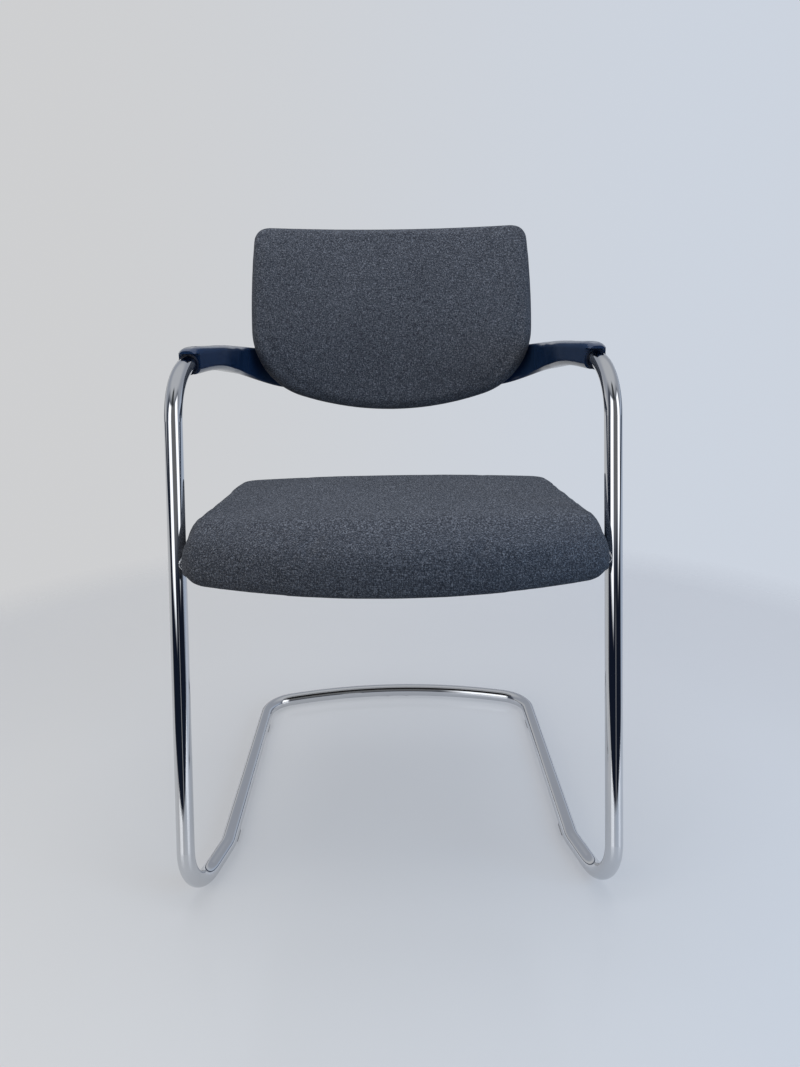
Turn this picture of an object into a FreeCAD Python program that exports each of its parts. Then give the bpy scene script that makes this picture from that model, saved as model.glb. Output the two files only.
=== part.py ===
# Cantilever armchair: a bent steel tube carries an upholstered seat and a moulded
# back shell whose two arms slide over the tube ends.
# X is to the sitter's left and right, +Y runs to the back, +Z is up, sizes in millimetres.
# The origin is on the floor, under the middle of the chair's width and depth.
import FreeCAD
import Part
import math
import os

V = FreeCAD.Vector

# Steel tube of the frame
tube_d = 22.0
tube_wall = 2.0
leg_spacing = 536.0
rail_spacing = 479.0
arm_tube_spacing = 501.0
arm_tube_height = 662.0
arm_tube_end_y = 338.0
top_corner_y = 155.5
base_depth = 568.0
toe_length = 120.0
top_bend_r = 82.0
foot_bend_r = 55.0
toe_bend_r = 60.0
rear_corner_r = 55.0
rear_bow_r = 660.0

# Inner sleeve and rivets at the rear joint of the two tube halves
slip_gap = 0.1
spigot_length = 70.0
spigot_wall = 2.0
rivet_d = 4.8
rivet_head_d = 8.0
rivet_head_t = 1.2
rivet_spacing = 36.0
rivet_grip = 6.0

# Floor glides
glide_lift = 2.5
glide_length = 34.0
glide_width = 17.0
glide_hug = 5.5
glide_peg_d = 6.0
glide_peg_reach = 5.0
glide_front_y = 152.0
glide_rear_y = 452.0
glide_corner_r = 6.0
glide_edge_r = 1.0

# Tube across the legs and the flat bars that carry the seat
cross_tube_d = 20.0
cross_tube_wall = 1.5
cross_tube_height = 432.5
seat_pitch = 3.5
seat_bar_width = 30.0
seat_bar_t = 8.0
seat_bar_setback = 29.5
seat_bar_spacing = 260.0
seat_bar_rise = 1.5
seat_strap_width = 25.0
bar_corner_r = 6.0

# Seat upholstery
seat_width = 499.0
seat_front_y = 12.0
seat_depth = 418.0
seat_front_bow_r = 685.0
seat_front_corner_r = 30.0
seat_front_clear = 4.0
seat_rear_corner_r = 45.0
seat_top_rise = 54.0
seat_crown_r = 3400.0
seat_under_r = 3700.0
seat_nose_drop = 25.0
seat_nose_r = 30.0
seat_nose_t = 20.5
seat_edge_r = 7.0
seat_side_draw = 8.0
seat_board_t = 9.0
seat_board_margin = 8.0
seat_board_bend_r = 22.0
seat_board_bend_deg = 82.0
cover_t = 1.2
under_step = 0.5

# Lining under the seat
lining_t = 1.5
lining_margin = 24.0
lining_slot_gap = 2.0
lining_front_gap = 18.0
lining_corner_r = 30.0

# Seat screws and nuts
seat_screw_d = 6.0
seat_screw_head_d = 10.5
seat_screw_head_t = 3.2
seat_screw_reach = 7.5
seat_screw_inset = 60.0
nut_barrel_d = 8.0
nut_flange_d = 18.0
nut_flange_t = 1.5
hole_gap = 0.1

# Back upholstery and its outline
back_y = 480.0
back_height = 568.0
back_lean = 10.0
back_width = 444.0
back_length = 285.0
back_plan_r = 1050.0
back_crown_r = 2600.0
back_bottom_r = 494.0
back_bottom_half = 150.0
back_side_r = 1243.0
back_top_corner_r = 24.0
back_pad_t = 30.0
back_edge_r = 9.0
back_board_t = 5.0
back_board_margin = 8.0

# Moulded shell behind the back, with its arms
shell_gap = 0.2
shell_wall = 4.0
shell_rim_h = 5.0
shell_rim_w = 3.0
shell_rim_inset = 2.0
arm_mouth_y = 217.0
arm_width = 28.0
arm_top_rise = 20.5
arm_under_drop = 13.0
arm_edge_r = 9.0
arm_turn_y = 450.0
tongue_length = 15.0
tongue_t = 6.5
sleeve_gap = 0.3

# Collar in each arm's mouth, and plug in each tube end
collar_depth = 10.0
collar_wall = 1.4
collar_lip_t = 2.0
collar_lip_wall = 2.2
plug_depth = 14.0
plug_head_t = 2.5

# Arm screws
arm_screw_d = 5.0
arm_screw_head_d = 9.0
arm_screw_head_t = 2.0
arm_screw_front = 262.0
arm_screw_rear = 315.0
arm_nut_d = 7.0
arm_nut_length = 9.0
arm_nut_bulge_d = 10.0
arm_nut_bulge_t = 1.5
arm_nut_bulge_lift = 3.8
arm_nut_lift = 0.6
arm_screw_wall = 2.4

# Back screws and nuts
back_screw_d = 5.0
back_screw_head_d = 9.6
back_screw_x = 120.0
back_screw_low = 70.0
back_screw_high = 225.0

# Values worked out from the sizes above
tube_r = tube_d / 2
bore_r = tube_r - tube_wall
leg_x = leg_spacing / 2
rail_x = rail_spacing / 2
arm_x = arm_tube_spacing / 2
rail_z = tube_r + glide_lift
leg_slope = top_corner_y / (arm_tube_height - rail_z)
cross_tube_r = cross_tube_d / 2
cross_tube_y = leg_slope * (cross_tube_height - rail_z)
seat_bar_length = seat_front_y + seat_depth - cross_tube_y - seat_bar_setback
seat_screw_rear = seat_bar_length - seat_screw_inset
bar_top = cross_tube_r + seat_bar_rise
X_AXIS = V(1, 0, 0)
Y_AXIS = V(0, 1, 0)
Z_AXIS = V(0, 0, 1)
MIDDLE = V(0, 0, 0)


def line(a, b):
    return Part.LineSegment(a, b).toShape()


def arc(a, b, c):
    return Part.Arc(a, b, c).toShape()


def arc_about(centre, radius, start_deg, end_deg, axis_u, axis_v):
    """Arc round a centre, measured from axis_u towards axis_v."""
    points = []
    for share in (0.0, 0.5, 1.0):
        angle = math.radians(start_deg + share * (end_deg - start_deg))
        points.append(centre + axis_u * (radius * math.cos(angle)) + axis_v * (radius * math.sin(angle)))
    return arc(*points)


def corner_arc(before, corner, after, radius):
    """Start, middle and end of the bend that rounds a corner."""
    u = (before - corner).normalize()
    w = (after - corner).normalize()
    half = u.getAngle(w) / 2
    start = corner + u * (radius / math.tan(half))
    end = corner + w * (radius / math.tan(half))
    bisector = (u + w).normalize()
    centre = corner + bisector * (radius / math.sin(half))
    return start, centre - bisector * radius, end


def bent_path(points, radii):
    """Straight runs joined by tangent bends."""
    edges = []
    here = points[0]
    for i, radius in enumerate(radii):
        start, middle, end = corner_arc(points[i], points[i + 1], points[i + 2], radius)
        edges.append(line(here, start))
        edges.append(arc(start, middle, end))
        here = end
    edges.append(line(here, points[-1]))
    return edges


def sweep(edges, start, direction, radius):
    circle = Part.Wire([Part.makeCircle(radius, start, direction)])
    return Part.Wire(edges).makePipeShell([circle], True, False)


def rod(start, direction, radius, length):
    return Part.makeCylinder(radius, length, start, direction)


def mirrored(shape):
    return shape.mirror(MIDDLE, X_AXIS)


def straight_block(wire, run):
    """Solid made by moving a closed outline along a straight run."""
    block = Part.Face(wire).extrude(run)
    if block.Volume < 0:
        block.reverse()
    return block


def rounded_plate(x_size, y_size, z_low, z_high, radius, y_start):
    """Plate centred on X that starts at y_start, with its upright edges rounded."""
    plate = Part.makeBox(x_size, y_size, z_high - z_low, V(-x_size / 2, y_start, z_low))
    upright = [e for e in plate.Edges if abs(e.tangentAt(e.FirstParameter).z) > 0.9]
    return plate.makeFillet(radius, upright)


# Frame tube
def frame_points(side):
    arm_end = V(side * arm_x, arm_tube_end_y, arm_tube_height)
    top_corner = V(side * leg_x, top_corner_y, arm_tube_height)
    foot_corner = V(side * leg_x, 0, rail_z)
    toe_corner = V(side * rail_x, toe_length, rail_z)
    return [arm_end, top_corner, foot_corner, toe_corner]


def rear_bow_centre():
    return V(0, base_depth - rear_bow_r, rail_z)


def frame_path():
    """Centre line of the right half, from the arm's end to the middle of the rear bow."""
    bow = rear_bow_centre()
    reach = rear_bow_r - rear_corner_r
    corner_x = rail_x - rear_corner_r
    corner = V(corner_x, bow.y + math.sqrt(reach ** 2 - corner_x ** 2), rail_z)
    meet_deg = math.degrees(math.atan2(corner.y - bow.y, corner.x))
    points = frame_points(1) + [V(rail_x, corner.y, rail_z)]
    edges = bent_path(points, [top_bend_r, foot_bend_r, toe_bend_r])
    edges.append(arc_about(corner, rear_corner_r, 0, meet_deg, X_AXIS, Y_AXIS))
    edges.append(arc_about(bow, rear_bow_r, meet_deg, 90, X_AXIS, Y_AXIS))
    return edges


def frame_tube():
    edges = frame_path()
    start = edges[0].Vertexes[0].Point
    direction = edges[0].tangentAt(edges[0].FirstParameter)
    tube = sweep(edges, start, direction, tube_r).cut(sweep(edges, start, direction, bore_r))
    for y in (glide_front_y, glide_rear_y):
        tube = tube.cut(rod(V(rail_x, y, 0), Z_AXIS, glide_peg_d / 2 + hole_gap, rail_z))
    tube = tube.cut(rivet_hole())
    for y in (arm_screw_front, arm_screw_rear):
        tube = tube.cut(rod(arm_screw_seat(y), Z_AXIS, arm_nut_d / 2 + hole_gap, tube_r))
    return tube


def rivet_seat():
    """Point under the rear bow where a rivet's head meets the tube."""
    bow = rear_bow_centre()
    angle = math.asin(rivet_spacing / 2 / rear_bow_r)
    return V(rivet_spacing / 2, bow.y + rear_bow_r * math.cos(angle), rail_z - tube_r)


def rivet_hole():
    return rod(rivet_seat(), Z_AXIS, rivet_d / 2 + hole_gap, tube_r)


def joint_spigot():
    bow = rear_bow_centre()
    half_deg = math.degrees(spigot_length / 2 / rear_bow_r)
    edge = arc_about(bow, rear_bow_r, 90 - half_deg, 90 + half_deg, X_AXIS, Y_AXIS)
    start = edge.valueAt(edge.FirstParameter)
    direction = edge.tangentAt(edge.FirstParameter)
    outer_r = bore_r - slip_gap
    spigot = sweep([edge], start, direction, outer_r).cut(sweep([edge], start, direction, outer_r - spigot_wall))
    return spigot.cut(rivet_hole()).cut(mirrored(rivet_hole()))


def joint_rivets():
    seat = rivet_seat()
    dome_r = (rivet_head_d ** 2 / 4 + rivet_head_t ** 2) / (2 * rivet_head_t)
    dome = Part.makeSphere(dome_r, seat + V(0, 0, dome_r - rivet_head_t))
    cap = dome.common(rod(seat - V(0, 0, rivet_head_t), Z_AXIS, rivet_head_d, rivet_head_t))
    rivet = cap.cut(tube_at_rear()).fuse(rod(seat, Z_AXIS, rivet_d / 2, rivet_grip))
    return Part.makeCompound([rivet, mirrored(rivet)])


def tube_at_rear():
    """Solid stretch of the rear bow, used to seat what lies against it."""
    bow = rear_bow_centre()
    edge = arc_about(bow, rear_bow_r, 84, 96, X_AXIS, Y_AXIS)
    return sweep([edge], edge.valueAt(edge.FirstParameter), edge.tangentAt(edge.FirstParameter), tube_r)


# Floor glides
def glide(y):
    pad = rounded_plate(glide_width, glide_length, 0, glide_lift + glide_hug, glide_corner_r, -glide_length / 2)
    sole = [e for e in pad.Edges if e.BoundBox.ZMax < 0.01]
    pad = pad.makeChamfer(glide_edge_r, sole)
    pad = pad.cut(rod(V(0, -glide_length, rail_z), Y_AXIS, tube_r, 2 * glide_length))
    peg = rod(V(0, 0, glide_lift / 2), Z_AXIS, glide_peg_d / 2, glide_lift / 2 + glide_peg_reach)
    pad = pad.fuse(peg)
    pad.translate(V(rail_x, y, 0))
    return pad


# Seat frame, in the seat's own slope
def on_seat(shape):
    """Tip a shape by the seat's pitch and set it at the cross tube."""
    shape.rotate(MIDDLE, X_AXIS, -seat_pitch)
    shape.translate(V(0, cross_tube_y, cross_tube_height))
    return shape


def leg_rod(side):
    points = frame_points(side)
    direction = points[1] - points[2]
    return rod(points[2], direction, tube_r, direction.Length)


def cross_tube():
    start = V(-leg_x, cross_tube_y, cross_tube_height)
    tube = rod(start, X_AXIS, cross_tube_r, 2 * leg_x)
    tube = tube.cut(rod(start, X_AXIS, cross_tube_r - cross_tube_wall, 2 * leg_x))
    return tube.cut(leg_rod(-1)).cut(leg_rod(1))


def seat_bar():
    bar = rounded_plate(seat_bar_width, seat_bar_length + bar_corner_r, bar_top - seat_bar_t, bar_top,
                        bar_corner_r, -bar_corner_r)
    bar = bar.cut(rod(V(-seat_bar_width, 0, 0), X_AXIS, cross_tube_r, 2 * seat_bar_width))
    bar = bar.cut(Part.makeBox(seat_bar_width * 2, bar_corner_r + 1, seat_bar_t * 4,
                               V(-seat_bar_width, -bar_corner_r - 1, -seat_bar_t * 2)))
    for y in (seat_screw_inset, seat_screw_rear):
        bar = bar.cut(rod(V(0, y, 0), Z_AXIS, seat_screw_d / 2 + hole_gap, seat_bar_t * 3))
    bar.translate(V(seat_bar_spacing / 2, 0, 0))
    return bar


def seat_strap():
    length = seat_bar_spacing - seat_bar_width
    strap_y = seat_bar_length - bar_corner_r - seat_strap_width
    return Part.makeBox(length, seat_strap_width, seat_bar_t - lining_t, V(-length / 2, strap_y, bar_top - seat_bar_t))


# Seat upholstery
seat_front = seat_front_y - cross_tube_y
seat_rear = seat_front + seat_depth
seat_axis_y = seat_front + seat_front_bow_r
board_under = bar_top
board_top = board_under + seat_board_t
bend_centre_y = seat_front + seat_nose_t + seat_board_bend_r
bend_centre_z = board_under - seat_board_bend_r


def turned_about_front_bow(face):
    """Turn a side-view face about the upright axis of the bowed front edge."""
    swing = 60.0
    centre = V(0, seat_axis_y, 0)
    face.rotate(centre, Z_AXIS, -swing)
    return face.revolve(centre, Z_AXIS, 2 * swing)


def seat_profile(inset, drop):
    """Side view of the cushion, with its rounded nose and the hollow behind it."""
    front = seat_front + inset
    top = seat_top_rise + 20
    under = board_under + under_step - drop
    back = seat_rear + 60
    nose_r = seat_nose_r - inset
    crown = seat_top_rise - inset
    hollow_r = seat_board_bend_r + under_step - drop
    lip_y = bend_centre_y - hollow_r
    nose_low = -seat_nose_drop + inset
    lip_r = (lip_y - front) / 2
    lip_centre = V(0, front + lip_r, nose_low + lip_r)
    nose_centre = V(0, front + nose_r, crown - nose_r)
    bend_centre = V(0, bend_centre_y, bend_centre_z)
    edges = [arc_about(nose_centre, nose_r, 180, 90, Y_AXIS, Z_AXIS)]
    edges.append(line(edges[-1].Vertexes[-1].Point, V(0, back, crown)))
    edges.append(line(V(0, back, crown), V(0, back, under)))
    edges.append(line(V(0, back, under), V(0, bend_centre_y, under)))
    edges.append(arc_about(bend_centre, hollow_r, 90, 180, Y_AXIS, Z_AXIS))
    lip_top = V(0, lip_y, bend_centre_z)
    edges.append(line(lip_top, V(0, lip_y, lip_centre.z)))
    edges.append(arc_about(lip_centre, lip_r, 0, -180, Y_AXIS, Z_AXIS))
    edges.append(line(V(0, front, lip_centre.z), V(0, front, nose_centre.z)))
    return Part.Face(Part.Wire(Part.__sortEdges__(edges)))


def seat_outline(inset, z):
    """Plan of the seat, its front line just clear of the nose except at the corners."""
    half = seat_width / 2 - inset
    rear = seat_rear - inset
    corner = seat_rear_corner_r - inset
    bow_r = seat_front_bow_r + seat_front_clear
    front_r = seat_front_corner_r
    front_y = seat_axis_y - math.sqrt((bow_r - front_r) ** 2 - (half - front_r) ** 2)
    turn = math.degrees(math.atan2(half - front_r, seat_axis_y - front_y))
    right = [arc_about(V(half - front_r, front_y, z), front_r, turn - 90, 0, X_AXIS, Y_AXIS),
             line(V(half, front_y, z), V(half, rear - corner, z)),
             arc_about(V(half - corner, rear - corner, z), corner, 0, 90, X_AXIS, Y_AXIS)]
    left = [mirrored(e) for e in reversed(right)]
    across = line(V(half - corner, rear, z), V(corner - half, rear, z))
    bow = arc_about(V(0, seat_axis_y, z), bow_r, -90 - turn, -90 + turn, X_AXIS, Y_AXIS)
    return Part.Wire(Part.__sortEdges__([bow] + right + [across] + left))


def seat_sides(inset):
    """Block with sides that pull in above and below their widest line."""
    low = -seat_nose_drop - 10
    widest = board_under + seat_board_t / 2
    high = seat_top_rise + 15
    outlines = [seat_outline(inset + seat_side_draw, low), seat_outline(inset, widest),
                seat_outline(inset + seat_side_draw * 0.8, high)]
    return Part.makeLoft(outlines, True, False)


def seat_crown(inset):
    length = seat_depth + 160
    top = rod(V(0, seat_front - 80, seat_top_rise - seat_crown_r), Y_AXIS, seat_crown_r - inset, length)
    under = rod(V(0, seat_front - 80, seat_under_r - seat_nose_drop), Y_AXIS, seat_under_r - inset, length)
    return top.common(under)


def seat_pad(inset, drop):
    pad = turned_about_front_bow(seat_profile(inset, drop)).common(seat_sides(inset))
    pad = pad.common(seat_crown(inset))
    rim = [e for e in pad.Edges if is_top_rim(e)]
    return pad.makeFillet(seat_edge_r - inset, rim)


def is_top_rim(edge):
    """True for the edges between the cushion's crowned top and its sides and rear."""
    box = edge.BoundBox
    outside = max(abs(box.XMin), abs(box.XMax)) > seat_width / 2 - 60 or box.YMin > seat_rear - 30
    return box.ZMin > board_top and outside and box.YMin > seat_front + seat_nose_r


def seat_board():
    """Pressed plywood with a front edge bent down round the cross tube."""
    inner_r = seat_board_bend_r
    outer_r = inner_r + seat_board_t
    back = seat_rear + 60
    centre = V(0, bend_centre_y, bend_centre_z)
    bend = 90 + seat_board_bend_deg
    lip = V(0, math.cos(math.radians(bend)), math.sin(math.radians(bend)))
    edges = [line(V(0, back, board_under), V(0, bend_centre_y, board_under)),
             arc_about(centre, inner_r, 90, bend, Y_AXIS, Z_AXIS),
             line(centre + lip * inner_r, centre + lip * outer_r),
             arc_about(centre, outer_r, bend, 90, Y_AXIS, Z_AXIS),
             line(V(0, bend_centre_y, board_top), V(0, back, board_top)),
             line(V(0, back, board_top), V(0, back, board_under))]
    board = turned_about_front_bow(Part.Face(Part.Wire(edges)))
    board = board.common(straight_block(seat_outline(seat_board_margin, -60), V(0, 0, 120)))
    for x, y in seat_screw_places():
        board = board.cut(rod(V(x, y, 0), Z_AXIS, nut_barrel_d / 2 + hole_gap, seat_top_rise))
    return board


def seat_screw_places():
    return [(side * seat_bar_spacing / 2, y) for side in (-1, 1) for y in (seat_screw_inset, seat_screw_rear)]


def seat_screw(x, y):
    seat_z = bar_top - seat_bar_t
    head = rod(V(x, y, seat_z - seat_screw_head_t), Z_AXIS, seat_screw_head_d / 2, seat_screw_head_t)
    rim = [e for e in head.Edges if e.BoundBox.ZMax < seat_z - seat_screw_head_t + 0.01]
    head = head.makeChamfer(seat_screw_head_t * 0.5, rim)
    return head.fuse(rod(V(x, y, seat_z), Z_AXIS, seat_screw_d / 2, seat_bar_t + seat_screw_reach))


def seat_nut(x, y):
    barrel = rod(V(x, y, board_under + 1), Z_AXIS, nut_barrel_d / 2, seat_board_t - 1)
    flange = rod(V(x, y, board_top), Z_AXIS, nut_flange_d / 2, nut_flange_t)
    return barrel.fuse(flange).cut(rod(V(x, y, 0), Z_AXIS, seat_screw_d / 2 + hole_gap, seat_top_rise))


def seat_nut_room(x, y):
    return rod(V(x, y, board_under), Z_AXIS, nut_flange_d / 2 + hole_gap, seat_board_t + nut_flange_t + hole_gap)


def seat_lining():
    front = cross_tube_r + lining_front_gap
    depth = seat_rear - lining_margin - front
    sheet = rounded_plate(seat_width - 2 * lining_margin, depth, board_under - lining_t, board_under,
                          lining_corner_r, front)
    slot_width = seat_bar_width + 2 * lining_slot_gap
    slot_end = seat_bar_length + lining_slot_gap
    for side in (-1, 1):
        corner = V(side * seat_bar_spacing / 2 - slot_width / 2, front - 1, board_under - 2 * lining_t)
        sheet = sheet.cut(Part.makeBox(slot_width, slot_end - front + 1, 4 * lining_t, corner))
    return sheet


# Back, in its own lean: X across, Y to the rear, Z up the back
def on_back(shape):
    shape.rotate(MIDDLE, X_AXIS, -back_lean)
    shape.translate(V(0, back_y, back_height))
    return shape


def back_outline():
    """Closed outline of the back pad, wide at its middle and drawn in below."""
    half = back_width / 2
    tilt = math.asin(back_bottom_half / back_bottom_r)
    corner_r = (half - back_bottom_half) / (1 - math.sin(tilt))
    rise = back_bottom_r * (1 - math.cos(tilt))
    corner = V(half - corner_r, 0, rise + corner_r * math.cos(tilt))
    side = V(half - back_side_r, 0, corner.z)
    top_z = back_length - back_top_corner_r
    reach = back_side_r - back_top_corner_r
    top = V(side.x + math.sqrt(reach ** 2 - (top_z - side.z) ** 2), 0, top_z)
    lean_deg = math.degrees(math.asin((top_z - side.z) / reach))
    tilt_deg = math.degrees(tilt)
    right = [arc_about(corner, corner_r, tilt_deg - 90, 0, X_AXIS, Z_AXIS),
             arc_about(side, back_side_r, 0, lean_deg, X_AXIS, Z_AXIS),
             arc_about(top, back_top_corner_r, lean_deg, 90, X_AXIS, Z_AXIS)]
    left = [mirrored(e) for e in right]
    bottom = arc_about(V(0, 0, back_bottom_r), back_bottom_r, -90 - tilt_deg, -90 + tilt_deg, X_AXIS, Z_AXIS)
    across = line(V(-top.x, 0, back_length), V(top.x, 0, back_length))
    return Part.Wire(Part.__sortEdges__([bottom, across] + right + left))


def back_block(inset):
    """Straight block through the back with the pad's outline, drawn in by the inset."""
    wire = back_outline()
    if inset > 0:
        wire = wire.makeOffset2D(-inset)
    wire.translate(V(0, -120, 0))
    return straight_block(wire, V(0, 240, 0))


def back_slab(front, rear, crown_r=0.0):
    """Layer of the back between two depths, curved round the sitter."""
    low = V(0, front, -30)
    high = V(0, front, back_length + 30)
    rear_high = V(0, rear, back_length + 30)
    rear_low = V(0, rear, -30)
    if crown_r > 0:
        middle = V(0, front, back_length / 2)
        sag = crown_r - math.sqrt(crown_r ** 2 - (back_length / 2 + 30) ** 2)
        front_edge = arc(low + V(0, sag, 0), middle, high + V(0, sag, 0))
        low = low + V(0, sag, 0)
        high = high + V(0, sag, 0)
    else:
        front_edge = line(low, high)
    face = Part.Face(Part.Wire([front_edge, line(high, rear_high), line(rear_high, rear_low), line(rear_low, low)]))
    centre = V(0, -back_plan_r, 0)
    swing = 15.0
    face.rotate(centre, Z_AXIS, -swing)
    return face.revolve(centre, Z_AXIS, 2 * swing)


def back_pad(inset, rear):
    pad = back_slab(inset, rear, back_crown_r - inset).common(back_block(inset))
    rim = [e for e in pad.Edges if is_front_rim(e)]
    return pad.makeFillet(back_edge_r - inset, rim)


def is_front_rim(edge):
    """True for the edges round the front face of the back pad."""
    middle = edge.valueAt((edge.FirstParameter + edge.LastParameter) / 2)
    ends = [edge.valueAt(edge.FirstParameter), edge.valueAt(edge.LastParameter), middle]
    return all(math.hypot(p.x, p.y + back_plan_r) < back_plan_r + back_pad_t / 2 for p in ends)


board_front = back_pad_t
shell_front = back_pad_t + back_board_t + shell_gap
shell_rear = shell_front + shell_wall


def back_board():
    board = back_slab(board_front, board_front + back_board_t).common(back_block(back_board_margin))
    for x, z in back_screw_places():
        board = board.cut(back_rod(x, z, board_front - 20, 40, nut_barrel_d / 2 + hole_gap))
    return board


def back_screw_places():
    return [(side * back_screw_x, z) for side in (-1, 1) for z in (back_screw_low, back_screw_high)]


def back_axis(x):
    """Outward direction of the curved back at a distance from its middle."""
    return V(x, math.sqrt(back_plan_r ** 2 - x ** 2), 0).normalize()


def back_rod(x, z, front, length, radius):
    """Round bar square to the curved back, starting at a depth."""
    direction = back_axis(x)
    start = V(0, -back_plan_r, z) + direction * (back_plan_r + front)
    return rod(start, direction, radius, length)


def back_screw(x, z):
    direction = back_axis(x)
    head_t = (back_screw_head_d - back_screw_d) / 2
    start = V(0, -back_plan_r, z) + direction * (back_plan_r + shell_rear - head_t)
    head = Part.makeCone(back_screw_d / 2, back_screw_head_d / 2, head_t, start, direction)
    return head.fuse(back_rod(x, z, board_front + 0.5, shell_rear - head_t - board_front - 0.5, back_screw_d / 2))


def back_screw_room(x, z):
    direction = back_axis(x)
    head_t = (back_screw_head_d - back_screw_d) / 2
    start = V(0, -back_plan_r, z) + direction * (back_plan_r + shell_rear - head_t - hole_gap)
    grow = hole_gap * 2
    sink = Part.makeCone(back_screw_d / 2 + grow, back_screw_head_d / 2 + 2 * grow, head_t + grow, start, direction)
    return [sink, back_rod(x, z, shell_front - 1, shell_wall + 2, back_screw_d / 2 + hole_gap)]


def back_nut(x, z):
    barrel = back_rod(x, z, board_front - hole_gap, back_board_t, nut_barrel_d / 2)
    flange = back_rod(x, z, board_front - nut_flange_t - hole_gap, nut_flange_t, nut_flange_d / 2)
    return barrel.fuse(flange).cut(back_rod(x, z, board_front - 5, 20, back_screw_d / 2 + hole_gap))


def back_nut_room(x, z):
    return back_rod(x, z, board_front - nut_flange_t - 2 * hole_gap, 20, nut_flange_d / 2 + hole_gap)


# Moulded shell with its arms
def arm_section(x, y, turn_deg, lean, width, low, high, radius):
    """Rounded upright section across the arm, turned inwards and leaned to the rear."""
    angle = math.radians(turn_deg)
    across = V(math.cos(angle), math.sin(angle), 0)
    base = V(x, y, 0)
    half = width / 2
    edges = []
    corners = [(half, low, -90), (half, high, 0), (-half, high, 90), (-half, low, 180)]
    arcs = []
    for u, z, start_deg in corners:
        cu = u - math.copysign(radius, u)
        cz = z + radius if z == low else z - radius
        arcs.append(arc_about(base + across * cu + V(0, 0, cz), radius, start_deg, start_deg + 90, across, Z_AXIS))
    for i in range(4):
        edges.append(arcs[i])
        end = arcs[i].valueAt(arcs[i].LastParameter)
        start = arcs[(i + 1) % 4].valueAt(arcs[(i + 1) % 4].FirstParameter)
        edges.append(line(end, start))
    wire = Part.Wire(edges)
    wire.rotate(V(x, y, (low + high) / 2), X_AXIS, -lean)
    return wire


def arm_body():
    """Right arm, from its tip over the tube to where it joins the back."""
    top = arm_tube_height + arm_top_rise
    low = arm_tube_height - arm_under_drop
    front_x = arm_x + 10
    middle_y = (arm_mouth_y + arm_tube_end_y) / 2
    lean = back_lean
    stations = [(front_x, arm_mouth_y - tongue_length, 0, 0, arm_width - 5, low + 1, top - 3, arm_edge_r),
                (front_x, arm_mouth_y + 6, 0, 0, arm_width, low, top, arm_edge_r),
                (arm_x + 5.5, middle_y, 3, 0, arm_width, low - 0.5, top - 1, arm_edge_r),
                (arm_x + 0.5, arm_tube_end_y, 4, 0, arm_width - 1.5, low - 4.5, top - 3.5, arm_edge_r),
                (arm_x - 3, arm_turn_y - 37, 6, 0, arm_width - 6, low - 14, top - 8, 8.0),
                (arm_x - 9.5, arm_turn_y + 15, 22, lean * 0.3, arm_width - 13, low - 22, top - 12, 6.0),
                (arm_x - 23.5, arm_turn_y + 48, 52, lean * 0.7, 10.0, low - 32, top - 16, 4.0),
                (arm_x - 44.5, arm_turn_y + 60, 72, lean, 7.0, low - 41, top - 19, 3.0),
                (arm_x - 72.5, arm_turn_y + 64.5, 80, lean, 6.0, low - 48, top - 22, 2.5)]
    return Part.makeLoft([arm_section(*station) for station in stations], True, False)


def arm_bore():
    """Room in the arm for the tube."""
    radius = tube_r + sleeve_gap
    points = frame_points(1)
    direction = (points[0] - points[1]).normalize()
    far_end = points[0] + direction * (plug_head_t + 2)
    start, middle, end = corner_arc(points[0], points[1], points[2], top_bend_r)
    edges = [line(far_end, start), arc(start, middle, end)]
    return sweep(edges, far_end, direction * -1, radius)


def arm_mouth_cut():
    """Block that leaves only the tongue ahead of the arm's mouth."""
    top = arm_tube_height + arm_top_rise - tongue_t
    depth = 60.0
    block = Part.makeBox(4 * arm_width, depth, 90, V(leg_x - 2 * arm_width, arm_mouth_y - depth, top - 90))
    edge = [e for e in block.Edges
            if abs(e.BoundBox.YMax - arm_mouth_y) < 0.01 and abs(e.BoundBox.YMin - arm_mouth_y) < 0.01
            and e.BoundBox.ZMin > top - 0.01]
    return block.makeFillet(3.0, edge)


def arm_line_point(y):
    """Point of the straight arm tube's centre line at a depth."""
    share = (y - top_corner_y) / (arm_tube_end_y - top_corner_y)
    return V(leg_x + (arm_x - leg_x) * share, y, arm_tube_height)


def arm_line_direction():
    return (arm_line_point(arm_tube_end_y) - arm_line_point(top_corner_y)).normalize()


def collar_bore():
    start = arm_line_point(arm_mouth_y)
    return rod(start, arm_line_direction(), tube_r + sleeve_gap + collar_wall, collar_depth)


def collar_lip_room():
    """Clear round space ahead of the mouth for the collar's lip."""
    direction = arm_line_direction()
    length = collar_lip_t + sleeve_gap
    radius = tube_r + collar_lip_wall + 2 * sleeve_gap
    return rod(arm_line_point(arm_mouth_y) - direction * length, direction, radius, length)


def arm_collar():
    direction = arm_line_direction()
    mouth = arm_line_point(arm_mouth_y)
    body = rod(mouth, direction, tube_r + sleeve_gap + collar_wall - slip_gap, collar_depth - slip_gap)
    lip = rod(mouth - direction * collar_lip_t, direction, tube_r + sleeve_gap + collar_lip_wall, collar_lip_t)
    return body.fuse(lip).cut(arm_bore())


def arm_screw_seat(y):
    return arm_line_point(y) - V(0, 0, tube_r)


def arm_screw(y):
    under = arm_screw_seat(y).z - arm_screw_wall
    start = arm_line_point(y)
    head = rod(V(start.x, y, under - arm_screw_head_t), Z_AXIS, arm_screw_head_d / 2, arm_screw_head_t)
    rim = [e for e in head.Edges if e.BoundBox.ZMax < under - arm_screw_head_t + 0.01]
    head = head.makeChamfer(arm_screw_head_t * 0.6, rim)
    return head.fuse(rod(V(start.x, y, under), Z_AXIS, arm_screw_d / 2, arm_nut_length))


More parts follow.
